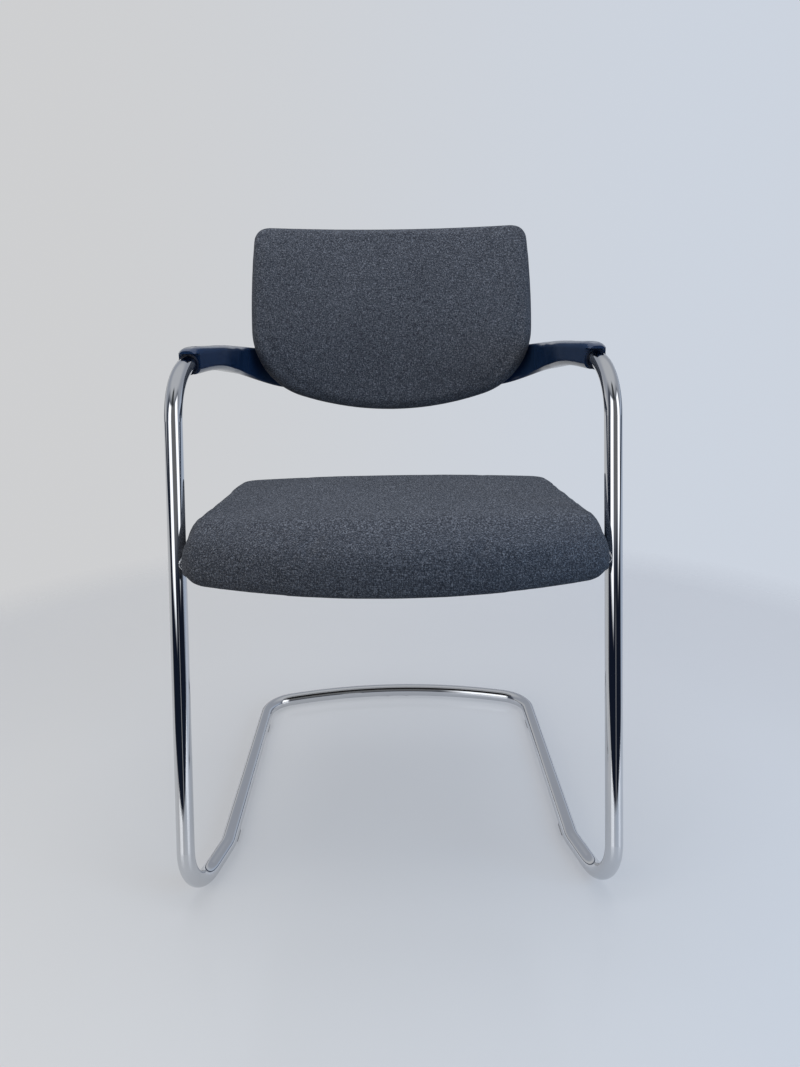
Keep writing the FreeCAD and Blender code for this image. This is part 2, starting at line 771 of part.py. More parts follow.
def arm_screw_room(y):
    seat = arm_screw_seat(y)
    hole = rod(seat - V(0, 0, tube_r), Z_AXIS, arm_screw_d / 2 + hole_gap, 2 * tube_r)
    sink = rod(seat - V(0, 0, tube_r + arm_screw_wall), Z_AXIS, arm_screw_head_d / 2 + sleeve_gap, tube_r)
    return hole.fuse(sink)


def arm_nut(y):
    """Rivet nut in the tube's lower wall, its flange inside the arm's running gap."""
    seat = arm_screw_seat(y)
    barrel = rod(seat + V(0, 0, arm_nut_lift), Z_AXIS, arm_nut_d / 2, arm_nut_length - arm_nut_lift)
    bulge = rod(seat + V(0, 0, arm_nut_bulge_lift), Z_AXIS, arm_nut_bulge_d / 2, arm_nut_bulge_t)
    return barrel.fuse(bulge).cut(rod(seat - V(0, 0, 1), Z_AXIS, arm_screw_d / 2 + hole_gap, arm_nut_length + 2))


def tube_plug():
    direction = arm_line_direction()
    end = arm_line_point(arm_tube_end_y)
    stem = rod(end - direction * plug_depth, direction, bore_r - slip_gap, plug_depth)
    head = rod(end, direction, tube_r - 0.5, plug_head_t)
    return stem.fuse(head)


def back_tray():
    outer = back_slab(shell_front - shell_rim_h, shell_rear).common(back_block(shell_rim_inset))
    room = back_slab(shell_front - shell_rim_h - 5, shell_front).common(back_block(shell_rim_inset + shell_rim_w))
    tray = outer.cut(room)
    for side in (-1, 1):
        for z in (back_screw_low, back_screw_high):
            for hole in back_screw_room(back_screw_x, z):
                tray = tray.cut(hole)
        tray = mirrored(tray)
    return on_back(tray)


def arm_back_shell():
    arm = arm_body().cut(arm_mouth_cut()).cut(arm_bore()).cut(collar_bore()).cut(collar_lip_room())
    for y in (arm_screw_front, arm_screw_rear):
        arm = arm.cut(arm_screw_room(y))
    keep_clear = on_back(back_slab(-60, shell_front - shell_rim_h).common(back_block(0)))
    board_room = on_back(back_slab(-60, shell_front).common(back_block(shell_rim_inset + shell_rim_w)))
    arm = arm.cut(keep_clear).cut(board_room)
    return back_tray().fuse(arm).fuse(mirrored(arm))


def depth_middle():
    """Halfway between the frontmost and rearmost faces of the frame."""
    box = Part.Wire(frame_path()).BoundBox
    return (box.YMin + box.YMax) / 2


def build():
    parts = {}
    right_tube = frame_tube()
    parts["frame_tube_right"] = right_tube
    parts["frame_tube_left"] = mirrored(right_tube)
    parts["frame_joint_spigot"] = joint_spigot()
    parts["frame_joint_rivets"] = joint_rivets()
    for name, y in (("front", glide_front_y), ("rear", glide_rear_y)):
        parts["glide_" + name + "_right"] = glide(y)
        parts["glide_" + name + "_left"] = mirrored(glide(y))
    parts["seat_cross_tube"] = cross_tube()
    parts["seat_bar_right"] = on_seat(seat_bar())
    parts["seat_bar_left"] = on_seat(mirrored(seat_bar()))
    parts["seat_rear_strap"] = on_seat(seat_strap())
    places = seat_screw_places()
    parts["seat_board"] = on_seat(seat_board())
    outer = seat_pad(0, 0)
    core = seat_pad(cover_t, 2)
    parts["seat_cover"] = on_seat(outer.cut(core))
    foam = core.common(outer).cut(seat_board())
    for x, y in places:
        foam = foam.cut(seat_nut_room(x, y))
    parts["seat_foam"] = on_seat(foam)
    parts["seat_lining"] = on_seat(seat_lining())
    parts["seat_screws"] = on_seat(Part.makeCompound([seat_screw(x, y) for x, y in places]))
    parts["seat_nuts"] = on_seat(Part.makeCompound([seat_nut(x, y) for x, y in places]))
    places = back_screw_places()
    parts["arm_back_shell"] = arm_back_shell()
    parts["back_board"] = on_back(back_board())
    outer = back_pad(0, back_pad_t)
    core = back_pad(cover_t, back_pad_t + 2)
    parts["back_cover"] = on_back(outer.cut(core))
    foam = core.common(outer)
    for x, z in places:
        foam = foam.cut(back_nut_room(x, z))
    parts["back_foam"] = on_back(foam)
    screws = [back_screw(back_screw_x, z) for z in (back_screw_low, back_screw_high)]
    parts["back_screws"] = on_back(Part.makeCompound(screws + [mirrored(s) for s in screws]))
    parts["back_nuts"] = on_back(Part.makeCompound([back_nut(x, z) for x, z in places]))
    parts["arm_collar_right"] = arm_collar()
    parts["arm_collar_left"] = mirrored(arm_collar())
    parts["tube_plug_right"] = tube_plug()
    parts["tube_plug_left"] = mirrored(tube_plug())
    screws = [arm_screw(y) for y in (arm_screw_front, arm_screw_rear)]
    nuts = [arm_nut(y) for y in (arm_screw_front, arm_screw_rear)]
    parts["arm_screws"] = Part.makeCompound(screws + [mirrored(s) for s in screws])
    parts["arm_nuts"] = Part.makeCompound(nuts + [mirrored(n) for n in nuts])
    return parts


def main():
    os.makedirs("parts", exist_ok=True)
    shift = V(0, -depth_middle(), 0)
    for name, shape in build().items():
        shape.translate(shift)
        shape.exportStep(os.path.join("parts", name + ".step"))
        box = shape.BoundBox
        print(name, len(shape.Solids), shape.isValid(), round(shape.Volume / 1000, 2), "cm3",
              [round(v, 1) for v in (box.XMin, box.XMax, box.YMin, box.YMax, box.ZMin, box.ZMax)])


main()
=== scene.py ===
"""Cantilever armchair: chromed tube frame, woven cushions and a moulded back shell with arms."""

import logging
import math
from collections.abc import Callable
from dataclasses import dataclass, field
from enum import Enum

import bmesh
import bpy
import numpy as np
from mathutils import Matrix, Vector


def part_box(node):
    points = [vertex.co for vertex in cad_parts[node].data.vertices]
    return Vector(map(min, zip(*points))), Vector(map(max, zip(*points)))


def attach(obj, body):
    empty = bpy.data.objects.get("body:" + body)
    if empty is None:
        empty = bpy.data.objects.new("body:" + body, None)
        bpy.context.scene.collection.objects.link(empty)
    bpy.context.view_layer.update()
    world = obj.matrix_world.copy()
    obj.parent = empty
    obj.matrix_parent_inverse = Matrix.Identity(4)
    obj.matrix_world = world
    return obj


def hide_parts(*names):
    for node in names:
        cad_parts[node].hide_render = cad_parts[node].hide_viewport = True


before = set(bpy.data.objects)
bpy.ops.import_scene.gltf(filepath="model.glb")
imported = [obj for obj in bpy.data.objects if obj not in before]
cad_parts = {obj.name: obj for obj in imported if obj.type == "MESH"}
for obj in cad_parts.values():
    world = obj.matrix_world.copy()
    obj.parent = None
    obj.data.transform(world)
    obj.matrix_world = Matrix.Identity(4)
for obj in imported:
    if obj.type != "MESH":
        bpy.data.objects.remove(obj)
LOG = logging.getLogger("chair")
MM = 0.001
Socket = bpy.types.NodeSocket
Piece = bpy.types.Object
SEAT_PITCH = 3.5
BACK_LEAN = 10.0
BACK_FOOT = Vector((0.0, 188.70, 568.0))
BACK_PLAN_R = 1050.0


class Slot(Enum):
    """Material slots of the chair's record."""

    CHROME = "chrome"
    ZINC = "zinc_steel"
    PAINTED = "black_steel"
    PLASTIC = "black_plastic"
    SHELL = "shell_plastic"
    PLY = "plywood"
    FABRIC = "fabric"
    LINING = "lining"


class NodeSheet:
    """A short way to lay out the nodes of a material or of the world."""

    def __init__(self, owner: bpy.types.ID) -> None:
        """Start from an empty node tree.

        Args:
            owner: the material or the world.
        """
        owner.use_nodes = True
        self.tree = owner.node_tree
        self.tree.nodes.clear()

    def add(self, kind: str, **values: object) -> bpy.types.Node:
        """Add a node.

        Args:
            kind: the node's type.
            values: attributes to set on it.

        Returns:
            The new node.
        """
        node = self.tree.nodes.new(kind)
        for key, value in values.items():
            setattr(node, key, value)
        return node

    def feed(self, socket: Socket, value: object) -> None:
        """Fill an input.

        Args:
            socket: the input.
            value: a socket to link, a number, a vector, or a colour without its alpha.
        """
        if isinstance(value, Socket):
            self.tree.links.new(value, socket)
        elif socket.type == "RGBA":
            socket.default_value = (*value, 1.0)
        else:
            socket.default_value = value

    def place(self) -> Socket:
        """Give the piece's own coordinates."""
        return self.add("ShaderNodeTexCoord").outputs["Object"]

    def split(self, vector: Socket) -> tuple:
        """Give the X, Y and Z of a vector.

        Args:
            vector: the vector's socket.

        Returns:
            Its three values.
        """
        node = self.add("ShaderNodeSeparateXYZ")
        self.feed(node.inputs[0], vector)
        return tuple(node.outputs)

    def noise(self, scale: float, detail: float = 2.0, rough: float = 0.5, stretch: tuple = ()) -> Socket:
        """Add noise on the piece's own coordinates.

        Args:
            scale: cells to the metre.
            detail: octaves.
            rough: share of each finer octave.
            stretch: further scale along each axis, if any.

        Returns:
            The noise's value.
        """
        node = self.add("ShaderNodeTexNoise")
        where = self.place()
        if stretch:
            mapping = self.add("ShaderNodeMapping")
            self.feed(mapping.inputs["Scale"], stretch)
            self.feed(mapping.inputs["Vector"], where)
            where = mapping.outputs["Vector"]
        for key, value in (("Vector", where), ("Scale", scale), ("Detail", detail), ("Roughness", rough)):
            self.feed(node.inputs[key], value)
        return node.outputs["Fac"]

    def spread(self, value: Socket, low: float, high: float,
               start: float = 0.0, end: float = 1.0, kind: str = "LINEAR") -> Socket:
        """Map a value from one span to another.

        Args:
            value: what is mapped.
            low: result at the start.
            high: result at the end.
            start: where the span starts.
            end: where the span ends.
            kind: LINEAR or SMOOTHSTEP.

        Returns:
            The mapped value.
        """
        node = self.add("ShaderNodeMapRange", interpolation_type=kind)
        span = (("Value", value), ("From Min", start), ("From Max", end), ("To Min", low), ("To Max", high))
        for key, number in span:
            self.feed(node.inputs[key], number)
        return node.outputs["Result"]

    def rise(self, value: Socket, start: float, end: float) -> Socket:
        """Smooth step from nought at the start to one at the end."""
        return self.spread(value, 0.0, 1.0, start, end, "SMOOTHSTEP")

    def fall(self, value: Socket, start: float, end: float) -> Socket:
        """Smooth step from one at the start to nought at the end."""
        return self.spread(value, 1.0, 0.0, start, end, "SMOOTHSTEP")

    def band(self, value: Socket, low: float, low_end: float,
             high: float, high_end: float) -> Socket:
        """One between two smooth steps, nought outside them."""
        return self.math("MULTIPLY", self.rise(value, low, low_end), self.fall(value, high, high_end))

    def math(self, kind: str, first: object, *others: object) -> Socket:
        """Work on one value, or combine several in turn.

        Args:
            kind: the operation.
            first: a socket or a number.
            others: more of them.

        Returns:
            The result.
        """
        for second in others or (0.0,):
            node = self.add("ShaderNodeMath", operation=kind)
            self.feed(node.inputs[0], first)
            self.feed(node.inputs[1], second)
            first = node.outputs[0]
        return first

    def mix(self, share: Socket, first: object, second: object) -> Socket:
        """Blend two colours.

        Args:
            share: how much of the second colour.
            first: a colour or a socket.
            second: a colour or a socket.

        Returns:
            The colour.
        """
        node = self.add("ShaderNodeMix", data_type="RGBA")
        for index, value in ((0, share), (6, first), (7, second)):
            self.feed(node.inputs[index], value)
        return node.outputs[2]


class MaterialSheet(NodeSheet):
    """The nodes of one material, round its shader."""

    def __init__(self, name: str) -> None:
        """Make a material with a plain shader.

        Args:
            name: name of the material.
        """
        self.material = bpy.data.materials.new(name)
        super().__init__(self.material)
        self.shader = self.add("ShaderNodeBsdfPrincipled")
        self.feed(self.add("ShaderNodeOutputMaterial").inputs["Surface"], self.shader.outputs["BSDF"])

    def set(self, **values: object) -> None:
        """Fill inputs of the shader, named with underscores for spaces."""
        for key, value in values.items():
            self.feed(self.shader.inputs[key.replace("_", " ")], value)

    def bump(self, height: Socket, depth: float, strength: float) -> None:
        """Raise the surface by a height.

        Args:
            height: the height's value.
            depth: height of one, in metres.
            strength: how much of it shows.
        """
        node = self.add("ShaderNodeBump")
        for key, value in (("Strength", strength), ("Distance", depth), ("Height", height)):
            self.feed(node.inputs[key], value)
        self.set(Normal=node.outputs["Normal"])


@dataclass(frozen=True)
class Finish:
    """Two tones in the clouds of one noise, with a fine bump from another.

    A noise is given as the arguments of NodeSheet.noise, and the roughness as those of
    NodeSheet.spread: its span, which the span of noise that it takes up may follow.
    """

    name: str
    cloud: tuple
    dark: tuple
    light: tuple
    roughness: tuple
    grain: tuple = ()
    depth: float = 0.0
    strength: float = 1.0
    metallic: float = 0.0
    rough_by_grain: bool = False

    def material(self) -> bpy.types.Material:
        """Make the material.

        Returns:
            The material.
        """
        sheet = MaterialSheet(self.name)
        rough_source = cloud = sheet.noise(*self.cloud)
        if self.grain:
            grain = sheet.noise(*self.grain)
            sheet.bump(grain, self.depth, self.strength)
            rough_source = grain if self.rough_by_grain else cloud
        sheet.set(Base_Color=sheet.mix(cloud, self.dark, self.light), Metallic=self.metallic,
                  Roughness=sheet.spread(rough_source, *self.roughness))
        return sheet.material


@dataclass(frozen=True)
class FeltLining:
    """Thin black non-woven felt under the seat."""

    name: str = "felt_lining"
    dark: tuple = (0.006, 0.006, 0.007)
    light: tuple = (0.045, 0.045, 0.048)

    def material(self) -> bpy.types.Material:
        """Make the material.

        Returns:
            The material.
        """
        sheet = MaterialSheet(self.name)
        fibre = sheet.noise(850.0, 5.0, 0.7)
        share = sheet.math("MULTIPLY", fibre, sheet.noise(18.0, 3.0))
        sheet.set(Base_Color=sheet.mix(share, self.dark, self.light), Roughness=0.93)
        sheet.bump(fibre, 0.0002, 0.6)
        return sheet.material


@dataclass(frozen=True)
class WovenCloth:
    """Anthracite upholstery cloth: a tight plain weave of flecked blue-grey yarn.

    Slubs run along the weft everywhere, and along the warp down the front faces and
    back along the seat's top. The weave is the product of sines along each pair of
    axes, so that it lies square on every side of a cushion.
    """

    name: str = "woven_cloth"
    dark: tuple = (0.0125, 0.0145, 0.0205)
    middle: tuple = (0.043, 0.049, 0.064)
    fleck: tuple = (0.172, 0.187, 0.224)
    sheen: tuple = (0.8, 0.86, 0.95)
    pitch: float = 0.0014
    fleck_size: float = 0.00118
    slubs: tuple = ((0.42, 1.0, 1.0), (0.62, 0.26, 1.0), (1.0, 1.0, 0.42))
    top_contrast: float = 1.3
    uneven: float = 0.12

    def weave(self, sheet: NodeSheet) -> Socket:
        """Height of the weave.

        Args:
            sheet: the material's nodes.

        Returns:
            The height, about nought to one.
        """
        turn = math.pi / self.pitch
        x, y, z = (sheet.math("SINE", sheet.math("MULTIPLY", out, turn)) for out in sheet.split(sheet.place()))
        products = [sheet.math("MULTIPLY", *pair) for pair in ((x, y), (y, z), (x, z))]
        return sheet.spread(sheet.math("ADD", *products), 0.0, 1.0, -1.2, 1.2)

    def yarn(self, sheet: NodeSheet, axis: int) -> Socket:
        """Noise that is drawn out along one axis, spread about nought."""
        noise = sheet.noise(1.0 / self.fleck_size, 2.0, 0.7, self.slubs[axis])
        return sheet.spread(noise, -1.0, 1.0, 0.22, 0.78)

    def warp(self, sheet: NodeSheet) -> Socket:
        """Warp yarns: up the front faces, and back along the top.

        Args:
            sheet: the material's nodes.

        Returns:
            The noise's value, spread about nought.
        """
        upward = sheet.split(sheet.add("ShaderNodeTexCoord").outputs["Normal"])[2]
        lying = sheet.spread(sheet.math("ABSOLUTE", upward), 0.0, 1.0, 0.78, 0.97)
        top = sheet.math("MULTIPLY", self.yarn(sheet, 1), self.top_contrast)
        node = sheet.add("ShaderNodeMix", data_type="FLOAT")
        for index, value in ((0, lying), (2, self.yarn(sheet, 2)), (3, top)):
            sheet.feed(node.inputs[index], value)
        return node.outputs[0]

    def material(self) -> bpy.types.Material:
        """Make the material.

        Returns:
            The material.
        """
        sheet = MaterialSheet(self.name)
        yarns = sheet.math("ADD", self.yarn(sheet, 0), self.warp(sheet))
        weave = self.weave(sheet)
        cloud = sheet.spread(sheet.noise(9.0, 3.0, 0.55), -self.uneven, self.uneven)
        tone = sheet.math("ADD", yarns, cloud, sheet.spread(weave, -self.uneven, self.uneven))
        ramp = sheet.add("ShaderNodeValToRGB")
        ramp.color_ramp.elements[0].color = (*self.dark, 1.0)
        ramp.color_ramp.elements[1].color = (*self.fleck, 1.0)
        ramp.color_ramp.elements.new(0.5).color = (*self.middle, 1.0)
        sheet.feed(ramp.inputs["Fac"], sheet.spread(tone, 0.0, 1.0, -1.1, 1.1))
        sheet.set(Base_Color=ramp.outputs["Color"], Roughness=0.92, Specular_IOR_Level=0.2,
                  Sheen_Weight=0.05, Sheen_Roughness=0.5, Sheen_Tint=self.sheen)
        height = sheet.math("ADD", sheet.math("MULTIPLY", weave, 0.7), sheet.math("MULTIPLY", yarns, 0.3))
        sheet.bump(height, 0.0003, 0.7)
        return sheet.material


FINISHES = {
    Slot.CHROME: Finish("chrome_plate", cloud=(14.0, 4.0, 0.6), dark=(0.60, 0.61, 0.63), light=(0.66, 0.67, 0.69),
                        roughness=(0.005, 0.04, 0.35, 0.75), metallic=1.0),
    Slot.ZINC: Finish("zinc_plate", cloud=(240.0, 3.0, 0.6), dark=(0.42, 0.43, 0.44), light=(0.66, 0.67, 0.68),
                      roughness=(0.26, 0.44), grain=(1500.0, 2.0), depth=0.00002, strength=0.4, metallic=1.0),
    Slot.PAINTED: Finish("powder_coat", cloud=(30.0, 3.0), dark=(0.014, 0.014, 0.015), light=(0.03, 0.03, 0.032),
                         roughness=(0.42, 0.62), grain=(1300.0, 3.0, 0.55), depth=0.00008, strength=0.6,
                         rough_by_grain=True),
    # Black plastic; the navy in both tones is a painted blue cast of shade and reflection.
    Slot.PLASTIC: Finish("satin_plastic", cloud=(60.0, 4.0, 0.65), dark=(0.005, 0.009, 0.022),
                         light=(0.012, 0.02, 0.045), roughness=(0.22, 0.36), grain=(1200.0, 2.0),
                         depth=0.00003, strength=0.2),
    # The shell itself is black; the navy in both tones is a painted blue cast of shade and reflection.
    Slot.SHELL: Finish("moulded_shell", cloud=(22.0, 4.0, 0.62), dark=(0.008, 0.021, 0.056),
                       light=(0.013, 0.032, 0.082), roughness=(0.09, 0.16, 0.3, 0.75),
                       grain=(1600.0, 3.0, 0.6), depth=0.00004, strength=0.35),
    Slot.PLY: Finish("beech_ply", cloud=(4.0, 6.0, 0.5, (60.0, 5.0, 60.0)), dark=(0.42, 0.27, 0.14),
                     light=(0.66, 0.49, 0.3), roughness=(0.62, 0.62), grain=(4.0, 6.0, 0.5, (60.0, 5.0, 60.0)),
                     depth=0.0001, strength=0.4),
    Slot.FABRIC: WovenCloth(),
    Slot.LINING: FeltLining(),
}


class Wardrobe:
    """All finishes of the chair, made once and given to pieces by slot."""

    cad_nodes = {
        Slot.CHROME: ("frame_tube_left", "frame_tube_right", "seat_cross_tube"),
        Slot.ZINC: ("frame_joint_spigot", "frame_joint_rivets", "seat_nuts", "back_nuts", "arm_nuts"),
        Slot.PAINTED: ("seat_bar_left", "seat_bar_right", "seat_rear_strap"),
        Slot.PLASTIC: ("glide_front_left", "glide_front_right", "glide_rear_left", "glide_rear_right",
                       "tube_plug_left", "tube_plug_right", "arm_collar_left", "arm_collar_right"),
        Slot.SHELL: ("arm_back_shell",),
        Slot.PLY: ("seat_board", "back_board"),
        Slot.LINING: ("seat_lining",),
    }

    def __init__(self) -> None:
        """Make one material for each slot."""
        self.materials = {slot: finish.material() for slot, finish in FINISHES.items()}

    def dress(self, piece: Piece, slot: Slot) -> None:
        """Give a piece the material of a slot.

        Args:
            piece: a CAD node or a new piece.
            slot: whose finish it takes.
        """
        held = piece.data.materials
        for index in range(len(held)):
            held[index] = self.materials[slot]
        if not held:
            held.append(self.materials[slot])

    def dress_cad(self) -> None:
        """Dress every CAD node that shows."""
        for slot, names in self.cad_nodes.items():
            for name in names:
                self.dress(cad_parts[name], slot)


def clear_selection() -> None:
    """Deselect every object."""
    for piece in bpy.context.selected_objects:
        piece.select_set(False)


def make_active(piece: Piece) -> None:
    """Select one object alone and make it active.

    Args:
        piece: the object.
    """
    clear_selection()
    piece.select_set(True)
    bpy.context.view_layer.objects.active = piece


def settle(piece: Piece) -> Piece:
    """Move an object's place into its mesh.

    Args:
        piece: the object.

    Returns:
        The same object, at the origin.
    """
    make_active(piece)
    bpy.ops.object.transform_apply(location=True, rotation=True, scale=True)
    return piece


def apply_modifiers(piece: Piece) -> None:
    """Apply all modifiers of a piece in order.

    Args:
        piece: the object.
    """
    make_active(piece)
    for modifier in list(piece.modifiers):
        bpy.ops.object.modifier_apply(modifier=modifier.name)


def finish_piece(piece: Piece, slot: Slot, wardrobe: Wardrobe, *replaced: str) -> None:
    """Dress a new piece, tie it to the chair and report it.

    Args:
        piece: the finished mesh.
        slot: whose finish it takes.
        wardrobe: the finishes.
        replaced: CAD nodes that it stands for.
    """
    wardrobe.dress(piece, slot)
    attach(piece, "root")
    if replaced:
        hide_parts(*replaced)
    LOG.info("piece %s, %d faces", piece.name, len(piece.data.polygons))


def mesh_piece(name: str, points: list, faces: list) -> Piece:
    """Make an object from points in millimetres and faces.

    Args:
        name: the object's name.
        points: the vertices.
        faces: vertex numbers of each face.

    Returns:
        The object, with its normals outwards.
    """
    mesh = bpy.data.meshes.new(name)
    mesh.from_pydata([tuple(value * MM for value in point) for point in points], [], faces)
    shape = bmesh.new()
    shape.from_mesh(mesh)
    bmesh.ops.remove_doubles(shape, verts=shape.verts, dist=0.00001)
    bmesh.ops.recalc_face_normals(shape, faces=shape.faces)
    shape.to_mesh(mesh)
    shape.free()
    piece = bpy.data.objects.new(name, mesh)
    bpy.context.collection.objects.link(piece)
    return piece


def read_points(mesh: bpy.types.Mesh, source: str = "vertices", value: str = "co") -> np.ndarray:
    """Read a mesh's vertices, or their normals, as rows.

    Args:
        mesh: the mesh.
        source: its vertices or vertex_normals.
        value: co or vector.

    Returns:
        One row for each vertex.
    """
    points = np.zeros(len(mesh.vertices) * 3)
    getattr(mesh, source).foreach_get(value, points)
    return points.reshape(-1, 3)


def write_points(mesh: bpy.types.Mesh, points: np.ndarray) -> None:
    """Write a mesh's vertices from rows."""
    mesh.vertices.foreach_set("co", points.ravel())
    mesh.update()


def seat_frame() -> Matrix:
    """Place of the seat's own frame: on the axis of the cross tube, tipped up at the front.

    Returns:
        The matrix from the seat's frame to the chair's.
    """
    low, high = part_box("seat_cross_tube")
    middle = (low + high) / 2
    return Matrix.Translation((0.0, middle.y, middle.z)) @ Matrix.Rotation(math.radians(-SEAT_PITCH), 4, "X")


def back_frame() -> Matrix:
    """Place of the back's own frame: at the foot of the back pad, leaned back."""
    return Matrix.Translation(BACK_FOOT * MM) @ Matrix.Rotation(math.radians(-BACK_LEAN), 4, "X")


def set_in_places(first: Piece, places: list, name: str) -> Piece:
    """Copy an object to each place and join the copies into one piece.

    Args:
        first: the object at the origin, which is removed.
        places: matrices that bring it to its seats.
        name: name of the piece.

    Returns:
        The joined piece.
    """
    copies = []
    for place in places:
        copy = first.copy()
        copy.data = first.data.copy()
        copy.data.transform(place)
        bpy.context.collection.objects.link(copy)
        copies.append(copy)
    bpy.data.objects.remove(first)
    clear_selection()
    for copy in copies:
        copy.select_set(True)
    bpy.context.view_layer.objects.active = copies[0]
    bpy.ops.object.join()
    piece = bpy.context.object
    piece.name = piece.data.name = name
    return piece


@dataclass
class Stuffing:
    """How a cushion is filled: remeshed, blown up as cloth, held to a small swell and smoothed."""

    voxel: float = 4.6
    pressure: float = 4.0
    frames: int = 20
    swell: float = 3.0
    smooth_rounds: int = 4

    def fill(self, piece: Piece, hold: Callable[[np.ndarray], np.ndarray]) -> None:
        """Fill a cushion.

        Args:
            piece: closed form in its own straight frame, in metres.
            hold: function from rows of points to the share of the swell that each may have.
        """
        form = piece.copy()
        form.data = piece.data.copy()
        bpy.context.collection.objects.link(form)
        remesh = piece.modifiers.new("remesh", "REMESH")
        remesh.voxel_size = self.voxel * MM
        self.smooth(piece, self.smooth_rounds)
        wrap = piece.modifiers.new("wrap", "SHRINKWRAP")
        wrap.target = form
        self.smooth(piece, 1)
        apply_modifiers(piece)
        bpy.data.objects.remove(form)
        self.blow_up(piece, hold)
        subdivide = piece.modifiers.new("subdivide", "SUBSURF")
        subdivide.levels = subdivide.render_levels = 1
        apply_modifiers(piece)
        make_active(piece)
        bpy.ops.object.shade_smooth()

    @staticmethod
    def smooth(piece: Piece, rounds: int) -> None:
        """Add a smoothing step.

        Args:
            piece: the cushion.
            rounds: how often it is smoothed.
        """
        modifier = piece.modifiers.new("smooth", "SMOOTH")
        modifier.factor = 0.5
        modifier.iterations = rounds

    def blow_up(self, piece: Piece, hold: Callable[[np.ndarray], np.ndarray]) -> None:
        """Run the cloth and keep a capped part of its motion.

        Args:
            piece: the remeshed form.
            hold: function from rows of points to the share of the swell that each may have.
        """
        start, outward = read_points(piece.data), read_points(piece.data, "vertex_normals", "vector")
        cloth = piece.modifiers.new("cloth", "CLOTH")
        settings = {"quality": 5, "mass": 0.3, "tension_stiffness": 20.0, "bending_stiffness": 2.0,
                    "compression_stiffness": 20.0, "use_pressure": True,
                    "uniform_pressure_force": self.pressure}
        for key, value in settings.items():
            setattr(cloth.settings, key, value)
        cloth.settings.effector_weights.gravity = 0.0
        cloth.point_cache.frame_start = 1
        cloth.point_cache.frame_end = self.frames
        scene = bpy.context.scene
        for number in range(1, self.frames + 1):
            scene.frame_set(number)
        end = read_points(piece.evaluated_get(bpy.context.evaluated_depsgraph_get()).data)
        piece.modifiers.remove(cloth)
        scene.frame_set(1)
        length = ((end - start) * outward).sum(axis=1)
        most = self.swell * MM * np.clip(hold(start), 0.0, 1.0)
        kept = np.clip(length, 0.0, most)
        write_points(piece.data, start + outward * kept[:, None])
        LOG.info("%s: cloth moved %.1f mm at most, %.1f mm kept", piece.name, length.max() * 1000, kept.max() * 1000)


def arc_points(centre: tuple, radius: float, start: float, end: float, count: int) -> list:
    """Points along an arc in a plane.

    Args:
        centre: the arc's centre.
        radius: its radius.
        start: first angle in degrees.
        end: last angle in degrees.
        count: number of steps.

    Returns:
        The points, both ends included.
    """
    angles = [math.radians(start + (end - start) * step / count) for step in range(count + 1)]
    return [(centre[0] + radius * math.cos(a), centre[1] + radius * math.sin(a)) for a in angles]


def bridge(rows: range | list, count: int) -> list:
    """Join rings of points, one to the next.

    Args:
        rows: numbers of the rings, in order.
        count: points in a ring.

    Returns:
        The faces.
    """
    return [(a * count + k, a * count + n, b * count + n, b * count + k)
            for a, b in zip(rows, rows[1:]) for k in range(count) for n in ((k + 1) % count,)]


def rounding(distance: float, radius: float) -> float:
    """How far a rounded corner falls back, at a distance past its start.

    Args:
        distance: how far past the start.
        radius: the corner's radius.

    Returns:
        How far it falls back.
    """
    if distance <= 0:
        return 0.0
    reach = min(distance, radius)
    return radius - math.sqrt(max(radius ** 2 - reach ** 2, 0.0))


